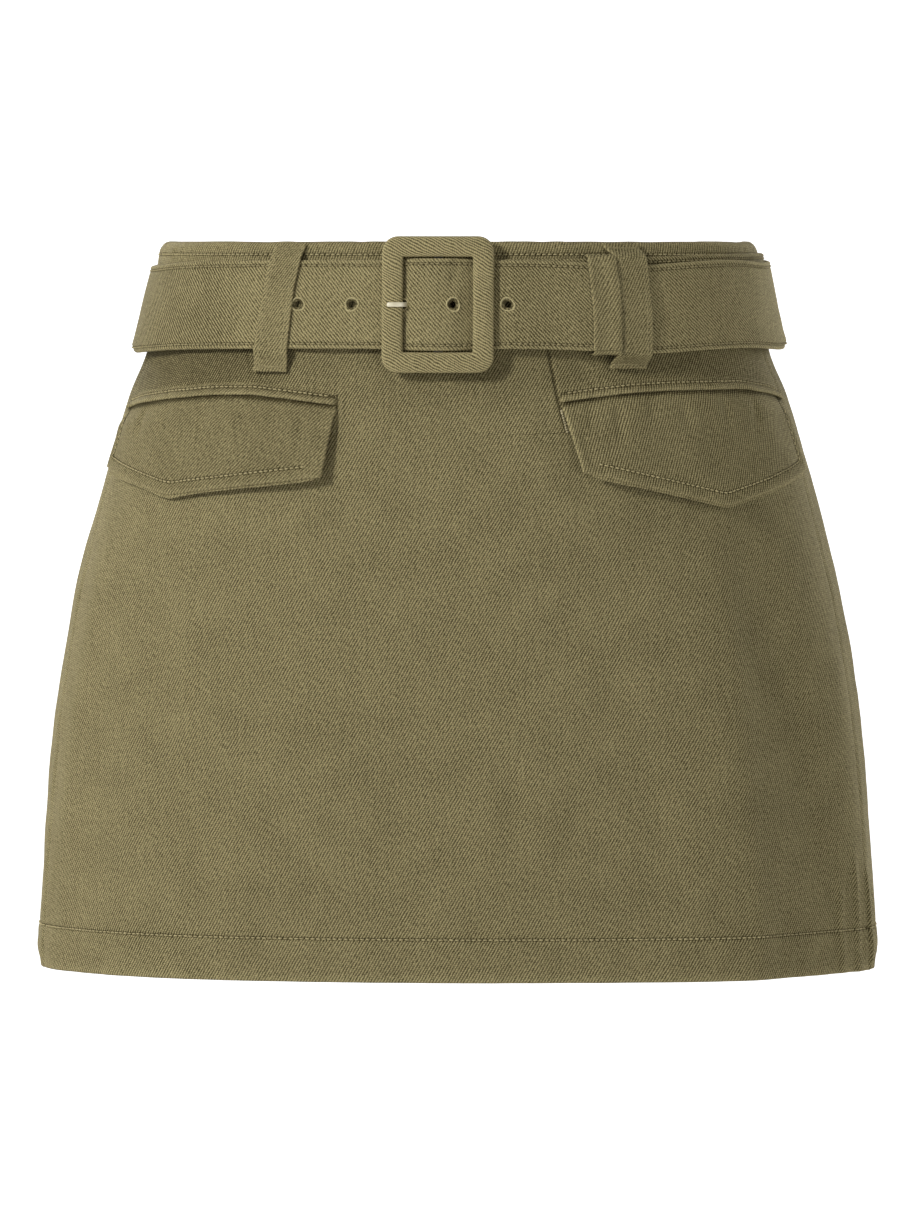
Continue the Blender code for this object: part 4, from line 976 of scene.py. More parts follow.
FLAP_DIMPLE = 2.6, 2.0  # how wide and how deep
FLAP_EDGE = np.array([0, 0.12, 0.35, 0.7, 1.1, 1.7, 2.5])  # columns and rows close to an edge
FLAP_FLAT_LENGTH, FLAP_LENGTH = 0.052, 44.0


def flap(node, mirror, mouth, shape, dimples, seed, finish):
    """A lined pocket flap with its topstitching and the under layer's edge."""
    form = FlapShape(mouth, shape)
    width = form.width
    across = np.concatenate([FLAP_EDGE, spaced(3.6, width - 3.6, 1.5), width - FLAP_EDGE[::-1]])
    down = np.concatenate([spaced(0, FLAP_LENGTH - 3.6, 1.3), FLAP_LENGTH - FLAP_EDGE[::-1]])
    across, down = across[:, None] / width, down[None, :] / FLAP_LENGTH
    arc, drop = form.at(across, down)
    bottom_gap, front_gap, side_gap, top_gap = form.edges(across, down)
    outer_gap = np.minimum(bottom_gap, side_gap)
    nearest = np.minimum(outer_gap, front_gap)
    full, soft = edge_full(nearest, 1.1), edge_full(nearest, 4.0)
    tuck = ease(top_gap / 10)  # the cloth comes out from under the welt
    bead = 0.45 * bell(nearest - 2.0, 1.8) * tuck
    groove = -0.50 * bell(outer_gap - FLAP_ROW, 0.9) * ease((front_gap - 6) / 4)
    groove = groove - 0.45 * bell(front_gap - FLAP_FRONT_ROW, 1.1) * ease(top_gap / 4) * ease(bottom_gap / 9)
    uneven = flap_uneven(arc, drop, seed)
    edge_wave = 0.35 * wander(arc, drop * 0.4, 9, 9, seed + 2) * bell(bottom_gap, 5)
    half_thick = FLAP_THICK * (0.28 + 0.72 * tuck) / 2
    out = form.lift(across, down) * (0.35 + 0.65 * tuck) + half_thick
    shaped = dips(arc, drop, dimples, *FLAP_DIMPLE)
    outer = out + half_thick * full + (bead + groove + uneven * tuck + shaped + edge_wave) * soft
    inner = out - half_thick * full + (uneven * 0.4 * tuck + edge_wave) * soft
    upper, lower = (skirt(mirror * arc, drop, face) for face in (outer, np.maximum(inner, 0.15)))
    uv = paired(mirror * arc, -drop)
    row = np.where(front_gap > FLAP_FRONT_ROW + 1.9, outer_gap - FLAP_ROW, NO_ROW)
    # the flap's edges are paler, worn and partly a painted highlight; a painted shadow lies under the welt's
    # lip
    wear_and_painted_light = 0.20 * bell(nearest, 1.3) - 0.60 * bell(top_gap - 0.6, 1.3)
    # the two faces share the row of points along the lower edge
    points, uv, row, wear_and_painted_light = (
        two_faces(above, below[:, :-1])[::mirror]
        for above, below in ((upper, lower), (uv, uv + np.array([0.0, 5.0])), (row, row), (wear_and_painted_light, wear_and_painted_light))
    )
    made = rings_object(f"{node}_cloth", points, finish, uv, {"stitch": row, "wear_and_painted_light": wear_and_painted_light}, caps="polygon")
    # the topstitching: along the lower edge and up the side
    last = 1 - FLAP_ROW / width
    share = np.concatenate([np.linspace(8.8 / width, last, 180), np.full(40, last)])
    low = 1 - FLAP_ROW / form.long(share)
    level = np.concatenate([low[:180], np.linspace(low[-1], 0.10, 40)])
    arc, drop = form.at(share, level)
    out = form.lift(share, level) + FLAP_THICK + flap_uneven(arc, drop, seed)
    out += dips(arc, drop, dimples, *FLAP_DIMPLE) - 0.42
    stitches = surface_row(f"{node}_cloth_stitches", mirror * arc, drop, out)
    facing = flap_facing(f"{node}_cloth_facing", form, mirror, seed + 5, finish)
    dress(
        made, node, "twill", (width * MM, FLAP_FLAT_LENGTH), "hung", ["skirt_front_cloth"],
        area=width * FLAP_LENGTH * MM * MM, with_pieces=[stitches, facing],
    )


# Dimples below each mouth: (arc, top, length, weight, lean).
DIMPLES_LEFT = (
    (70, 78, 24, 0.7, 0.05), (84, 76, 18, 0.5, 0.0), (100, 75, 22, 0.6, 0.1), (122, 75, 20, 0.6, 0.05),
    (146, 76, 16, 0.5, 0.0), (165, 78, 20, 0.6, 0.1),
)
DIMPLES_RIGHT = (
    (66, 75, 20, 0.6, 0.1), (80, 74, 24, 0.7, 0.05), (97, 73, 16, 0.5, 0.0), (114, 72, 22, 0.6, 0.05),
    (137, 72, 18, 0.5, 0.1), (158, 73, 20, 0.5, 0.0),
)
Pocket = namedtuple("Pocket", "side mirror mouth shape dimples seed finish")
POCKETS = rows(Pocket, [
    ("left", -1, MOUTH_LEFT, FLAP_LEFT, DIMPLES_LEFT, 41, flap_twill_left),
    ("right", 1, MOUTH_RIGHT, FLAP_RIGHT, DIMPLES_RIGHT, 51, flap_twill_right),
])
for pocket in POCKETS:
    welt(f"pocket_welt_{pocket.side}", pocket.mouth, pocket.finish)
for pocket in POCKETS:
    flap(f"pocket_flap_{pocket.side}", *pocket[1:])


# ---------------------------------------------------------------- straps
def curve_through(rows, step):
    """Rows of numbers on a smooth curve through the given rows, at most step apart."""
    given = [np.array(row, float) for row in rows]
    given = [2 * given[0] - given[1]] + given + [2 * given[-1] - given[-2]]
    found = []
    for k in range(1, len(given) - 2):
        before, start, end, after = given[k - 1 : k + 3]
        reach = np.hypot(*(end - start)[:2])
        leave = (end - before) * reach / (reach + np.hypot(*(start - before)[:2]))
        arrive = (after - start) * reach / (reach + np.hypot(*(after - end)[:2]))
        count = max(1, math.ceil(reach / step))
        found.append(bend(np.arange(count)[:, None] / count, start, end, leave, arrive))
    return np.concatenate([*found, given[-2][None]])


def strip_section(half, edge, step=1.5, middle=0.0):
    """Places across a strip, -1 to 1, and how full its thickness is at each.

    They lie closer together within a distance called middle of the centre line.
    """
    close = np.array([0, 0.1, 0.32, 0.65, 1.0]) * edge
    inner = half - edge - step
    s = np.concatenate([close - half, spaced(-inner, inner, step), half - close[::-1]])
    if middle:
        s = np.concatenate([s[s < -middle], np.arange(-middle, middle + 0.01, 0.45), s[s > middle]])
    return s / half, edge_full(half - np.abs(s), edge)


class Ribbon:
    """A flat strap along rows of (along, out, thick, edge_a, edge_b, lean)."""

    def __init__(self, rows, put, half, wave, edge, turned=1):
        self.rows, self.put, self.half, self.wave, self.edge = rows, put, half, wave, edge
        self.across = turned * square_to(np.gradient(rows[:, :2], axis=0))
        self.length = lengths(rows[:, :2])

    def points(self, t, height):
        """t is -1 to 1 across; height is mm out from the middle of the thickness."""
        along, out, _, edge_a, edge_b, lean = self.rows.T[..., None]
        here = along + self.across[:, :1] * height
        away = out + self.across[:, 1:] * height + lean * t + self.wave(along + 0 * t, t * self.half)
        return self.put(here, away, edge_a + (edge_b - edge_a) * (t + 1) / 2)

    def solid(self, name, finish, marks, hole=None, middle=0.0):
        t, full = strip_section(self.half, self.edge, middle=middle)
        ends = np.minimum(self.length, self.length[-1] - self.length)[:, None]
        thick = self.rows[:, 2:3] / 2 * (0.12 + 0.88 * edge_full(ends, 0.9)) * full
        points = two_faces(self.points(t, thick), self.points(t, -thick)[:, 1:-1])
        s = np.concatenate([t, 2.1 - t[-2:0:-1]]) * self.half
        uv = paired(self.length[:, None], -s)
        shape = len(self.rows), len(t)
        spots = marks(self.rows[:, :1], t * self.half)
        spots = {mark: np.broadcast_to(values, shape) for mark, values in spots.items()}
        spots = {mark: two_faces(values, values[:, 1:-1]) for mark, values in spots.items()}
        return rings_object(name, points, finish, uv, spots, caps="strip", hole=hole)

    def row(self, t, first=-1e9):
        """Points along the strap's face, from a place on, and outward normals, for stitches."""
        thick = self.rows[:, 2:3] / 2
        here, outward = facing_out(lambda at: self.points(np.array([[t]]), at)[:, 0], thick, thick + 3.0)
        keep = self.rows[:, 0] >= first
        return here[keep], outward[keep]


TURN = float(2 * half_round(BELT_LEVEL))


def nearest_row(line, arc):
    """The strap's row at an arc past the centre front, on its second time round."""
    return int(np.abs(line[:, 0] - (arc + TURN)).argmin())


def belt_rows():
    """The strap's rows, closer together round its eyelets."""
    past = tuple(row._replace(arc=row.arc + TURN) for row in BELT_THROUGH_BUCKLE + BELT_TAIL)
    line = curve_through(BELT_FOLD + BELT_ROUND + past, 0.25)
    length = lengths(line[:, :2])
    at = [np.arange(0, 12, 0.4), np.arange(12, length[-1], 1.3), length[-1:]]
    for arc in EYELET_ARCS:
        at.append(length[nearest_row(line, arc)] + np.arange(-3.6, 3.7, 0.45))
    at = np.unique(np.concatenate(at).round(3))
    arc, out, thick, middle, lean = between(at, length, line).T
    # the strap spreads a little where it is bent over the buckle
    half = HALF_BELT + 0.85 * np.exp(-(((arc - TURN - BUCKLE_ARC) / 22) ** 4))
    found = np.stack([arc, out, thick, middle - half, middle + half, lean], axis=1)
    # the rounded tip
    part = np.linspace(0, 1, 16)[1:, None]
    arc, out, thick, top, bottom, lean = found[-1]
    half, middle = HALF_BELT * (1 - 0.62 * part**3), (top + bottom) / 2
    reach = arc + (BELT_TIP_ARC + TURN - arc) * part
    same = np.ones(part.shape)
    tip = [reach, out * same, thick * same, middle - half, middle + half, lean * same]
    return np.concatenate([found, np.concatenate(tip, axis=1)])


def belt_wave(along, s):
    """The worn unevenness of the belt's face and edges, with its stitched-down edges."""
    past, inset = along - TURN, HALF_BELT - np.abs(s)
    wave = 0.26 * wander(along, s, 21, 15, 61) + 0.12 * wander(along + 0.5 * s, s, 7, 9, 62)
    wave = wave + 0.14 * bell(inset, 3.0) * wander(along, np.sign(s), 5, 1, 63)
    # a soft dent within the buckle
    near, _ = to_path(past, s, ((3.4, -19), (1.6, -10), (-2.6, -3)))
    wave = wave - 0.9 * bell(near, 3.6)
    # the tail's lower edge is turned in at the right side, and the strap's at the left
    wave = wave + 0.5 * bell(past - 201, 8) * ease((s - 11) / 6) * ease((20.5 - s) / 3)
    wave = wave - 1.8 * bell(past - 205, 14) * ease((s - 16.5) / 4.5) ** 2
    wave = wave - 2.8 * bell(past + 201, 24) * ease((s - 16) / 5) ** 2
    bead = (0.22 + 0.10 * wander(along, np.sign(s) * 3, 4, 1, 64)) * bell(inset - 1.1, 0.8)
    return wave + bead - 0.30 * bell(inset - BELT_STITCH_INSET, 0.8)


def belt_marks(along, s):
    """Its paler edges, worn and partly a painted highlight; lighter along the tail and darker at the left;
    and a painted shadow of the buckle on the stretch right of it.
    """
    arc, inset = along - TURN, HALF_BELT - np.abs(s)
    buckle_shadow_and_tone = 0.16 * ease((arc - 188) / 20) - 0.17 * ease((-arc - 85) / 40)
    # a painted shadow of the buckle, on the stretch right of it
    buckle_shadow_and_tone = buckle_shadow_and_tone - 0.09 * ease((arc - 12) / 12) * ease((72 - arc) / 14)
    return {"stitch": inset - BELT_STITCH_INSET, "wear_and_painted_light": 0.20 * bell(inset, 1.1) + buckle_shadow_and_tone}


def eyelet_places():
    """Each eyelet's middle, within the strap, its axes (ahead, down, out) and its share of full size."""
    down = np.array([0.0, 0.0, -1.0])
    for k, arc in enumerate(EYELET_ARCS):
        row = nearest_row(strap.rows, arc)
        along, out = strap.rows[[row, row - 2, row + 2], :2].T
        here, before, after = belt_place(along, BUCKLE_DROP, out)
        ahead = unit(after - before)
        yield here, (ahead, down, np.cross(ahead, -down)), 0.8 if k == PRONG_EYELET else 1.0


def eyelet_holes(centres):
    """Which of the strap's faces are cut away for its eyelets."""
    cut = np.zeros(len(centres), bool)
    for middle, _, size in eyelet_places():
        cut |= np.linalg.norm(centres - middle, axis=-1) < EYELET_CUT * size * MM
    return cut


# An eyelet's section, from inside its hole over the worked thread: radius, and how far out.
EYELET_PROFILE = (
    (EYELET_HOLE, -1.05), (EYELET_HOLE, 0.0), (1.65, 0.45), (1.95, 0.75), (2.35, 0.95), (2.65, 1.20),
    (2.85, 1.55), (3.05, 1.85), (3.28, 1.88), (3.48, 1.60), (3.60, 1.2), (3.5, 0.8), (3.2, 0.5),
    (2.3, 0.0), (1.9, -1.0),
)


def eyelet(k, centre, axes, size):
    """A hole worked round with thread, like a buttonhole's edge."""
    plain, height = np.array(EYELET_PROFILE).T
    around = np.linspace(0, 2 * math.pi, 133)[:-1, None]
    turns = np.cos(22 * around + k) + 0.4 * np.sin(9 * around + 2 * k)  # of the thread
    worked = np.clip((height - 0.7) / 0.4, 0, 1) * turns
    bent = 0.15 * np.sin(3 * around + 1.7 * k) * (plain > 1.6)
    radius = size * (plain + 0.08 * worked * (plain > 2.6) + bent) * (1 + 0.06 * np.cos(2 * around + 1.3 * k))
    reach = radius * np.cos(around), radius * np.sin(around), height + 0.10 * worked
    points = centre + MM * sum(part[..., None] * axis for part, axis in zip(reach, axes))
    # painted shade down the inside of the hole; the worked thread ring is paler
    hole_shade_ring_tone = np.where(plain < 2.8, -0.5, 0.6)
    uv = np.zeros((*radius.shape, 2))
    ring = rings_object(f"eyelet_{k + 1}", points, eyelet_thread, uv, {"wear_and_painted_light": hole_shade_ring_tone}, joined=True)
    return ring


strap = Ribbon(belt_rows(), lambda arc, out, drop: belt_place(arc, drop, out), HALF_BELT, belt_wave, 0.95)
belt = strap.solid("belt_strap_cloth", belt_twill, belt_marks, eyelet_holes, middle=4.4)
belt_pieces = [eyelet(k, *found) for k, found in enumerate(eyelet_places())]
for label, side in (("top", -1), ("bottom", 1)):
    line = strap.row(side * (1 - BELT_STITCH_INSET / HALF_BELT), first=14)
    belt_pieces.append(stitch_row(f"belt_stitches_{label}", *line, belt_thread, "belt_twill"))
dress(
    belt, "belt_strap", "belt_twill", (1.150, BELT_WIDTH * MM), "stretched", ["waistband_front_cloth"],
    with_pieces=belt_pieces,
)


# ---------------------------------------------------------------- keeper and belt loops
def keeper():
    """A closed cloth band round the strap and the tail, leaning like the belt's edge."""
    height, depth = KEEPER_BOTTOM - KEEPER_TOP, KEEPER_FRONT_OUT - KEEPER_BACK_OUT
    middle_drop, middle_out = KEEPER_TOP + height / 2, KEEPER_BACK_OUT + depth / 2
    corner, path = 1.9, []
    for turn, sides in enumerate(((1, 1), (1, -1), (-1, -1), (-1, 1))):
        angle = np.radians(90 - 90 * turn - np.linspace(0, 90, 9))[:, None]
        centre = np.array(sides) * (np.array([height, depth]) / 2 - corner)
        path.append(centre + corner * np.concatenate([np.cos(angle), np.sin(angle)], axis=1))
    path = np.concatenate([*path, path[0][:1]])
    steps = lengths(path)
    at = np.arange(0, steps[-1], 0.9)
    path = between(at, steps, path)
    outward = square_to(np.roll(path, -1, axis=0) - np.roll(path, 1, axis=0))
    outward *= np.sign((outward * path).sum(axis=1))[:, None]
    (down, away), (down_axis, out_axis), at = path.T[..., None], outward.T[..., None], at[:, None]
    t, full = strip_section(KEEPER_HALF_WIDTH, 0.6, 0.9)
    # the front layer's right edge lies up on the belt loop beside it
    up = KEEPER_RISE * ease(t + 0.2) * ease(away / (depth / 2))
    edge = 0.25 * wander(at, np.sign(t) * 3, 8, 2, 72)
    faces = []
    for side in (1, -1):
        bulge = 0.12 * wander(at, t * 5, 6, 5, 71) + 0.2 * bell(np.abs(t) - 0.75, 0.15) * (side > 0)
        bulge = bulge + (side * full - 1) * KEEPER_THICK / 2
        drop = middle_drop + down + down_axis * bulge
        lean = (drop - KEEPER_TOP) / height
        arc = KEEPER_ARC_TOP + (KEEPER_ARC_BOTTOM - KEEPER_ARC_TOP) * lean + t * KEEPER_HALF_WIDTH
        arc = arc + KEEPER_BOW * np.sin(math.pi * lean) + edge
        faces.append(place(arc, drop, middle_out + away + out_axis * bulge + up))
    points = two_faces(faces[0], faces[1][:, 1:-1])
    uv = paired(np.concatenate([t, 2.1 - t[-2:0:-1]]) * KEEPER_HALF_WIDTH, -at)
    wear_and_painted_light = 0.12 * np.concatenate([bell(1 - np.abs(t), 0.12), np.zeros(len(t) - 2)])
    made = rings_object("belt_keeper_cloth", points, keeper_twill, uv, {"wear_and_painted_light": wear_and_painted_light}, joined=True)
    flat = (2 * KEEPER_HALF_WIDTH * MM, 0.108)
    dress(made, "belt_keeper", "belt_twill", flat, "folded", ["belt_strap_cloth"])


keeper()


def belt_face(arc, layers):
    """How far out the belt's face stands at an arc along it, over one layer or two."""
    table = BELT_TAIL if layers == 2 and arc > 0 else BELT_ROUND
    at = arc + TURN if arc < 0 else arc
    return float(curve(table, "out", at) + abs(curve(table, "lean", at)) + BELT_THICK / 2)


BARTACK = {"pitch": 1.05, "length": 0.95, "width": 1.1, "proud": 0.3}


def belt_loop(node, table, layers, seed):
    """A loop of folded cloth from the waist edge over the belt to the skirt."""
    middle = (table[0].edge_a + table[-1].edge_b) / 2
    over = belt_face(middle, layers) + LOOP_CLEAR + LOOP_THICK / 2
    drops, *columns = np.array(table).T
    at = np.arange(drops[0], drops[-1] + 0.01, 0.5)
    columns = (np.pad(np.interp(at, drops, column), 2, mode="edge") for column in columns)
    edge_a, edge_b, lie = (np.convolve(column, np.ones(5) / 5, mode="valid") for column in columns)
    out = LOOP_OUT + (over - LOOP_OUT) * lie
    course = np.stack([at, out, np.full(at.shape, LOOP_THICK), edge_a, edge_b, 0 * at], axis=1)
    course = course[::-1]  # so that the strip's upper side faces out
    half = float((edge_b - edge_a).mean() / 2)

    def wave(along, s):
        inset = half - np.abs(s)
        worked = 0.16 * bell(inset - 1.2, 0.9) - 0.08 * bell(inset - LOOP_ROW, 0.8)
        return worked + 0.22 * wander(along, s, 9, 7, seed) + 0.10 * wander(along + s, s, 4, 5, seed + 1)

    ribbon = Ribbon(course, lambda along, out, side: place(side, along, out), half, wave, 0.7, turned=-1)
    # the loop's edges are paler, worn and partly a painted highlight
    made = ribbon.solid(
        f"{node}_cloth", loop_twill, lambda along, s: {"wear_and_painted_light": 0.18 * bell(half - np.abs(s), 0.9)}
    )
    stitches = []
    for label, side in (("a", -1), ("b", 1)):
        line = ribbon.row(side * (1 - LOOP_ROW / half))
        stitches.append(stitch_row(f"{node}_stitches_{label}", *line, belt_thread, width=0.5, proud=0.16))
    for label, level in (("top", 3.4), ("bottom", drops[-1] - 2.6)):
        k = int(np.abs(course[:, 0] - level).argmin())
        lines = [ribbon.row(t) for t in np.linspace(-0.92, 0.92, 60)]
        line = (np.array([points[k] for points in found]) for found in zip(*lines))
        stitches.append(stitch_row(f"{node}_bartack_{label}", *line, belt_thread, **BARTACK))
    dress(
        made, node, "twill", (2 * half * MM, 0.064), "folded", ["waistband_front_cloth"],
        with_pieces=stitches,
    )


belt_loop("belt_loop_front_left", LOOP_LEFT, 1, 81)
belt_loop("belt_loop_front_right", LOOP_RIGHT, 2, 84)
for number, loop in enumerate(BACK_LOOPS):
    arc = loop.share * half_round(BELT_LEVEL)
    centre = low = float(curve(BELT_ROUND, "centre_drop", arc))
    if loop.layers == 2:
        low = max(centre, float(curve(BELT_TAIL, "centre_drop", arc)))
    top, bottom = centre - HALF_BELT, low + HALF_BELT
    table = []
    for drop, lie in (
        (0.6, 0.0), (top - 4.2, 0.05), (top - 2.6, 0.5), (top - 0.9, 1.0), (centre, 1.0),
        (bottom + 0.9, 1.0), (bottom + 2.8, 0.5), (bottom + 4.8, 0.05), (bottom + 10.5, 0.0),
    ):
        middle = float(arc * half_round(drop) / half_round(BELT_LEVEL))
        table.append(Loop(drop, middle - BACK_LOOP_HALF_WIDTH, middle + BACK_LOOP_HALF_WIDTH, lie))
    belt_loop(loop.name, table, loop.layers, 87 + 3 * number)


# ---------------------------------------------------------------- buckle
def buckle_path(inset, corner):
    """A rounded rectangle, inset from the frame's outline."""
    half = np.array([BUCKLE_WIDTH, BUCKLE_HEIGHT]) / 2 - inset - corner
    path = []
    for turn, sides in enumerate(((1, 1), (-1, 1), (-1, -1), (1, -1))):
        angle = np.radians(90 * turn + np.linspace(0, 90, 10))[:, None]
        path.append(np.array(sides) * half + corner * np.concatenate([np.cos(angle), np.sin(angle)], axis=1))
    return np.concatenate([*path, path[0][:1]])


def buckle_frame():
    """A rounded rectangle wrapped in belt cloth, bent a little to follow the body."""
    paths = buckle_path(0, BUCKLE_CORNER), buckle_path(BUCKLE_BAR, BUCKLE_INNER_CORNER)
    counts = np.maximum(1, np.ceil(np.diff(lengths(paths[0])) / 1.2).astype(int))
    outer, inner = (
        np.concatenate([a + (b - a) * (np.arange(n) / n)[:, None] for a, b, n in zip(path, path[1:], counts)])
        for path in paths
    )
    wide, deep = rounded(np.linspace(0, 2 * math.pi, 29)[:-1] + 0.01, 2 / 3.1)
    spot = inner[:, None] + (outer - inner)[:, None] * (0.5 + 0.5 * wide)[None, :, None]
    across, up = spot[..., 0], spot[..., 1]
    out = (BUCKLE_FRONT + BUCKLE_BACK) / 2 + (BUCKLE_FRONT - BUCKLE_BACK) / 2 * deep
    crown = 0.25 * (1 - wide**2) * (deep > 0) - 0.25
    uneven = 0.16 * wander(across, up, 6, 7, 91) + 0.07 * wander(across, up, 2.4, 3, 92)
    points = place(BUCKLE_ARC + across, BUCKLE_DROP - up, out + crown + uneven)
    # the cloth runs on round both edges
    wrap = 2.0 * ((1 - np.clip(deep, 0, 1)) * np.sign(wide))[None, :, None] * unit(outer - inner)[:, None]
    uv = spot + wrap
    # the frame's front edges are paler, worn and partly a painted highlight
    wear_and_painted_light = 0.16 * bell(np.abs(wide) - 0.86, 0.10) * (deep > 0)
    made = rings_object(
        "buckle_frame_cloth", points[:, ::-1], buckle_twill, uv[:, ::-1], {"wear_and_painted_light": wear_and_painted_light[::-1]}, joined=True
    )
    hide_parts("buckle_frame")


def prong():
    """A flat wire, curled round the bar, up through an eyelet and on to the frame."""
    line = curve_through(PRONG_PATH, 0.45)
    across, steps = square_to(np.gradient(line, axis=0)), lengths(line)
    size = 0.15 + 0.85 * edge_full(np.minimum(steps, steps[-1] - steps)[:, None], 0.9)
    wide, deep = rounded(np.arange(16) * 2 * math.pi / 16, 0.7)
    wide, deep = wide * PRONG_WIDTH / 2 * size, deep * PRONG_THICK / 2 * size
    (arc, out), (arc_axis, out_axis) = line.T[..., None], across.T[..., None]
    points = belt_place(arc + arc_axis * deep, BUCKLE_DROP + wide, out + out_axis * deep)
    uv = np.zeros((*points.shape[:2], 2))
    made = rings_object("buckle_prong_metal", points, prong_finish, uv, caps="polygon")
    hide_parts("buckle_prong")


buckle_frame()
prong()
for used in bpy.data.objects["buckle_bar"].material_slots:
    used.material = bar_finish


# ---------------------------------------------------------------- inner shorts
def shorts_points(across, drop, back):
    """One leg's panel: across is 0 at the side seam and 1 at the inner seam. In millimetres."""
    loose = curve(SHORTS_EASE, "ease", drop) + 3.0 * ease((90 - drop) / 20)
    whole, front = half_round(drop), quarter(drop)
    arc = front + (whole - front) * across if back else front * (1 - across)
    upper = place(arc, drop, -loose) / MM
    side = place(front, drop, -loose)[..., 0] / MM
    inseam, depth = curve(SHORTS_EASE, "inseam", drop), curve(SHORTS_EASE, "leg_depth", drop)
    x = (side + inseam) / 2 + (side - inseam) / 2 * np.cos(math.pi * across)
    y = depth * np.sin(math.pi * across) * (1 if back else -1)
    closed = ease((drop - RISE_START) / (CROTCH_DROP - RISE_START))[..., None]
    lower = np.stack(np.broadcast_arrays(x, y, -drop), axis=-1)
    points = upper * (1 - closed) + lower * closed
    # above the crotch the two legs' panels meet at the middle
    points[..., 0] -= inseam * closed[..., 0] * ease((across - 0.9) * 10) * ease((CROTCH_DROP - drop) / 2)
    return inside_seams(points, back)


def inside_seams(points, back):
    """Points kept on their own panel's side of the middle and of the inner seam."""
    side = np.array([1, 1 if back else -1, 1])
    return side * np.maximum(side * points, [SHORTS_SEAM, SHORTS_SEAM, -np.inf])


def shorts_panel(node, mirror, back):
    """A quarter of the shorts, from the waistband to the leg's turned-up hem."""
    hem_top = SHORTS_LENGTH - LEG_HEM_DEPTH
    down = [spaced(46, hem_top - 1, 3.5), [hem_top - 0.4, hem_top], spaced(hem_top + 2, 301, 2), [301.6, 302]]
    across, drop = np.broadcast_arrays(np.linspace(0, 1, 70)[:, None], np.concatenate(down)[None])
    middle = shorts_points(across, drop, back)
    wave = 0.5 * wander(across * 180, drop, 30, 45, 101) * ease((drop - 60) / 60)
    ahead = np.gradient(middle, axis=0)
    ahead[..., 2] = 0
    ahead = unit(ahead)
    inward = np.stack([-ahead[..., 1], ahead[..., 0], 0 * ahead[..., 0]], axis=-1) * (1 if back else -1)
    layer = np.where(drop >= hem_top, LEG_HEM_CLOTH, SHORTS_CLOTH)
    dent = 0.35 * bell(drop - hem_top, 1.2)
    edge = ease(np.minimum(across, 1 - across) * 30)
    outer = inside_seams(middle + inward * ((dent - wave) * edge)[..., None], back)
    inner = inside_seams(middle + inward * (layer - wave * edge)[..., None], back)
    points = two_faces(outer, inner)
    points[..., 0] *= mirror
    uv = paired(across * 175.0 * mirror, -drop)
    uv = two_faces(uv, uv + np.array([0.0, 9.0]))
    if (mirror > 0) == back:
        points, uv = points[::-1], uv[::-1]
    made = rings_object(f"{node}_cloth", points * MM, shorts_cloth, uv)
    dress(made, node, "shorts_cloth", (0.275, 0.270), "hung", ["skirt_front_cloth"], area=0.066)


for side, mirror in (("right", 1), ("left", -1)):
    shorts_panel(f"shorts_front_{side}", mirror, False)
    shorts_panel(f"shorts_back_{side}", mirror, True)


# ---------------------------------------------------------------- rows of stitching
def edge_rows(name, level, put, out):
    """A row of stitches from side seam to side seam, in front and behind."""
    for label, edges in (("front", front_edges), ("back", back_edges)):
        low, high = (float(edge) for edge in edges(level))
        arcs = spaced(low + SEAM_MARGIN, high - SEAM_MARGIN, 1.0)
        line = facing_out(lambda at: put(arcs, np.full(arcs.shape, level), at), out, out + 10.0)
        stitch_row(f"{name}_stitches_{label}", *line, olive_thread)


edge_rows("hem", HEM_TOP, skirt, 0.1)
edge_rows("waist", WAIST_ROW, place, -0.1)
# the closure's bartack, beside the right pocket
share = np.arange(0, 1, 0.3 / math.hypot(3.2, 12.0))
surface_row(
    "closure_bartack", 53.4 + 3.2 * share, 79.0 + 12.0 * share, 0.35, cream_thread,
    pitch=1.15, length=1.05, width=1.25, proud=0.4,
)


# ---------------------------------------------------------------- stage, light and camera
LIGHT_AIM, LIGHT_DISTANCE = Vector((0, 0, -0.17)), 2.4


def soft_light(name, turn, rise, size, power):
    """A square light, turned round from the front and raised, in degrees."""
    lamp = bpy.data.lights.new(name, "AREA")
    lamp.size, lamp.energy = size, power
    made = bpy.data.objects.new(name, lamp)
    turn, rise = math.radians(turn), math.radians(rise)
    away = Vector((math.sin(turn) * math.cos(rise), -math.cos(turn) * math.cos(rise), math.sin(rise)))
    made.location = LIGHT_AIM + LIGHT_DISTANCE * away
    made.rotation_euler = (-away).to_track_quat("-Z", "Y").to_euler()
    made.visible_camera = False
    bpy.context.collection.objects.link(made)


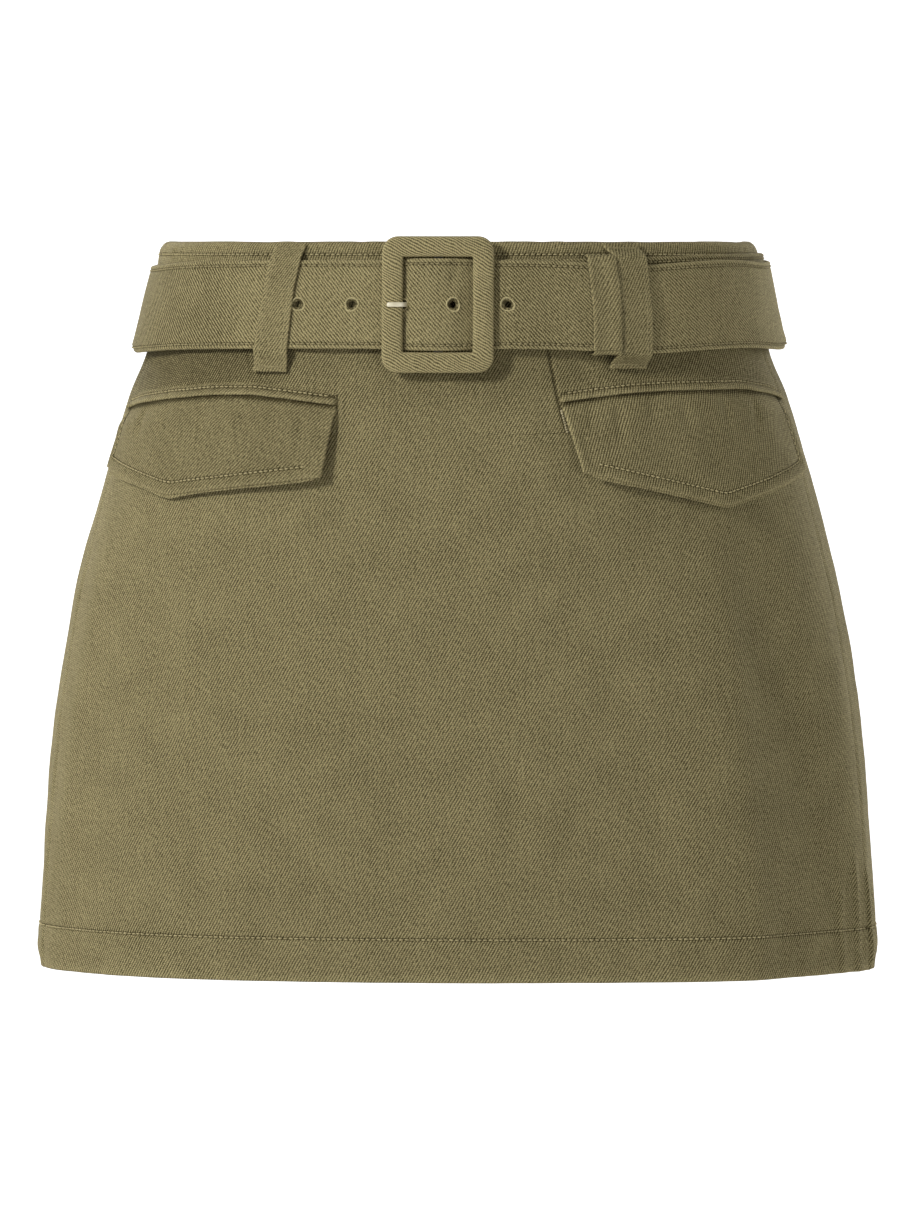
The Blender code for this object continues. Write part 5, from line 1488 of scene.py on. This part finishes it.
def paper():
    """Pale seamless paper, glowing softly far from the garment and white behind it."""
    n = Nodes("paper")
    where = n.add("ShaderNodeTexCoord").outputs["Object"]
    split = n.separate(where)
    away = n.add("ShaderNodeVectorMath", operation="LENGTH")
    n.put(away.inputs[0], where)
    around = n.map(away.outputs["Value"], 1.8, 5.0, 0.05, 0.66, soft=True)
    behind = n.map(split[1], 2.0, 4.2, 0.0, 0.97, soft=True)
    tone = n.noise(where, 3.0, 3.0)
    n.look(Base_Color=n.mix(tone, [0.70] * 3, [0.74] * 3), Roughness=0.95)
    n.look(Emission_Color=(1, 1, 1, 1), Emission_Strength=n.math("MAXIMUM", around, behind))
    return n.material


def stage():
    """A pale floor that curves up into a white backdrop."""
    profile = [(-22.0, -1.0), (5.6, -1.0)]
    profile += [(5.6 + 1.2 * math.sin(t), 0.2 - 1.2 * math.cos(t)) for t in np.linspace(0.1, 1.57, 12)]
    profile += [(6.8, 7.0)]
    points = [(x, y, z) for y, z in profile for x in (-22.0, 22.0)]
    faces = [(2 * k, 2 * k + 1, 2 * k + 3, 2 * k + 2) for k in range(len(profile) - 1)]
    mesh = bpy.data.meshes.new("floor")
    mesh.from_pydata(points, [], faces)
    mesh.shade_smooth()
    mesh.materials.append(paper())
    floor = bpy.data.objects.new("floor", mesh)
    bpy.context.collection.objects.link(floor)


stage()
world = bpy.data.worlds.new("studio")
world.use_nodes = True
world.node_tree.nodes["Background"].inputs["Color"].default_value = (1, 1, 1, 1)
world.node_tree.nodes["Background"].inputs["Strength"].default_value = 0.04
bpy.context.scene.world = world
bpy.context.scene.view_settings.view_transform = "Standard"
for light in (  # name, turn, rise, size, power
    ("key", -40, 24, 0.35, 35), ("left", -60, 40, 0.5, 5), ("left_rim", -105, 8, 0.9, 16),
    ("front_right", 34, 4, 0.9, 8), ("right", 100, 10, 0.9, 7), ("top", -20, 74, 0.6, 7),
    ("back_left", 212, 25, 0.8, 26), ("back_right", 137, 12, 1.0, 27),
):
    soft_light(*light)

CAMERA_AIM, CAMERA_DISTANCE, CAMERA_TURN = Vector((0, 0, -0.1788)), 4.5, math.radians(2.4)
lens = bpy.data.cameras.new("camera")
lens.sensor_width, lens.lens = 36, 273.8
camera = bpy.data.objects.new("camera", lens)
camera.location = CAMERA_DISTANCE * Vector((math.sin(CAMERA_TURN), -math.cos(CAMERA_TURN), 0))
camera.rotation_euler = (CAMERA_AIM - camera.location).to_track_quat("-Z", "Y").to_euler()
bpy.context.collection.objects.link(camera)
bpy.context.scene.camera = camera
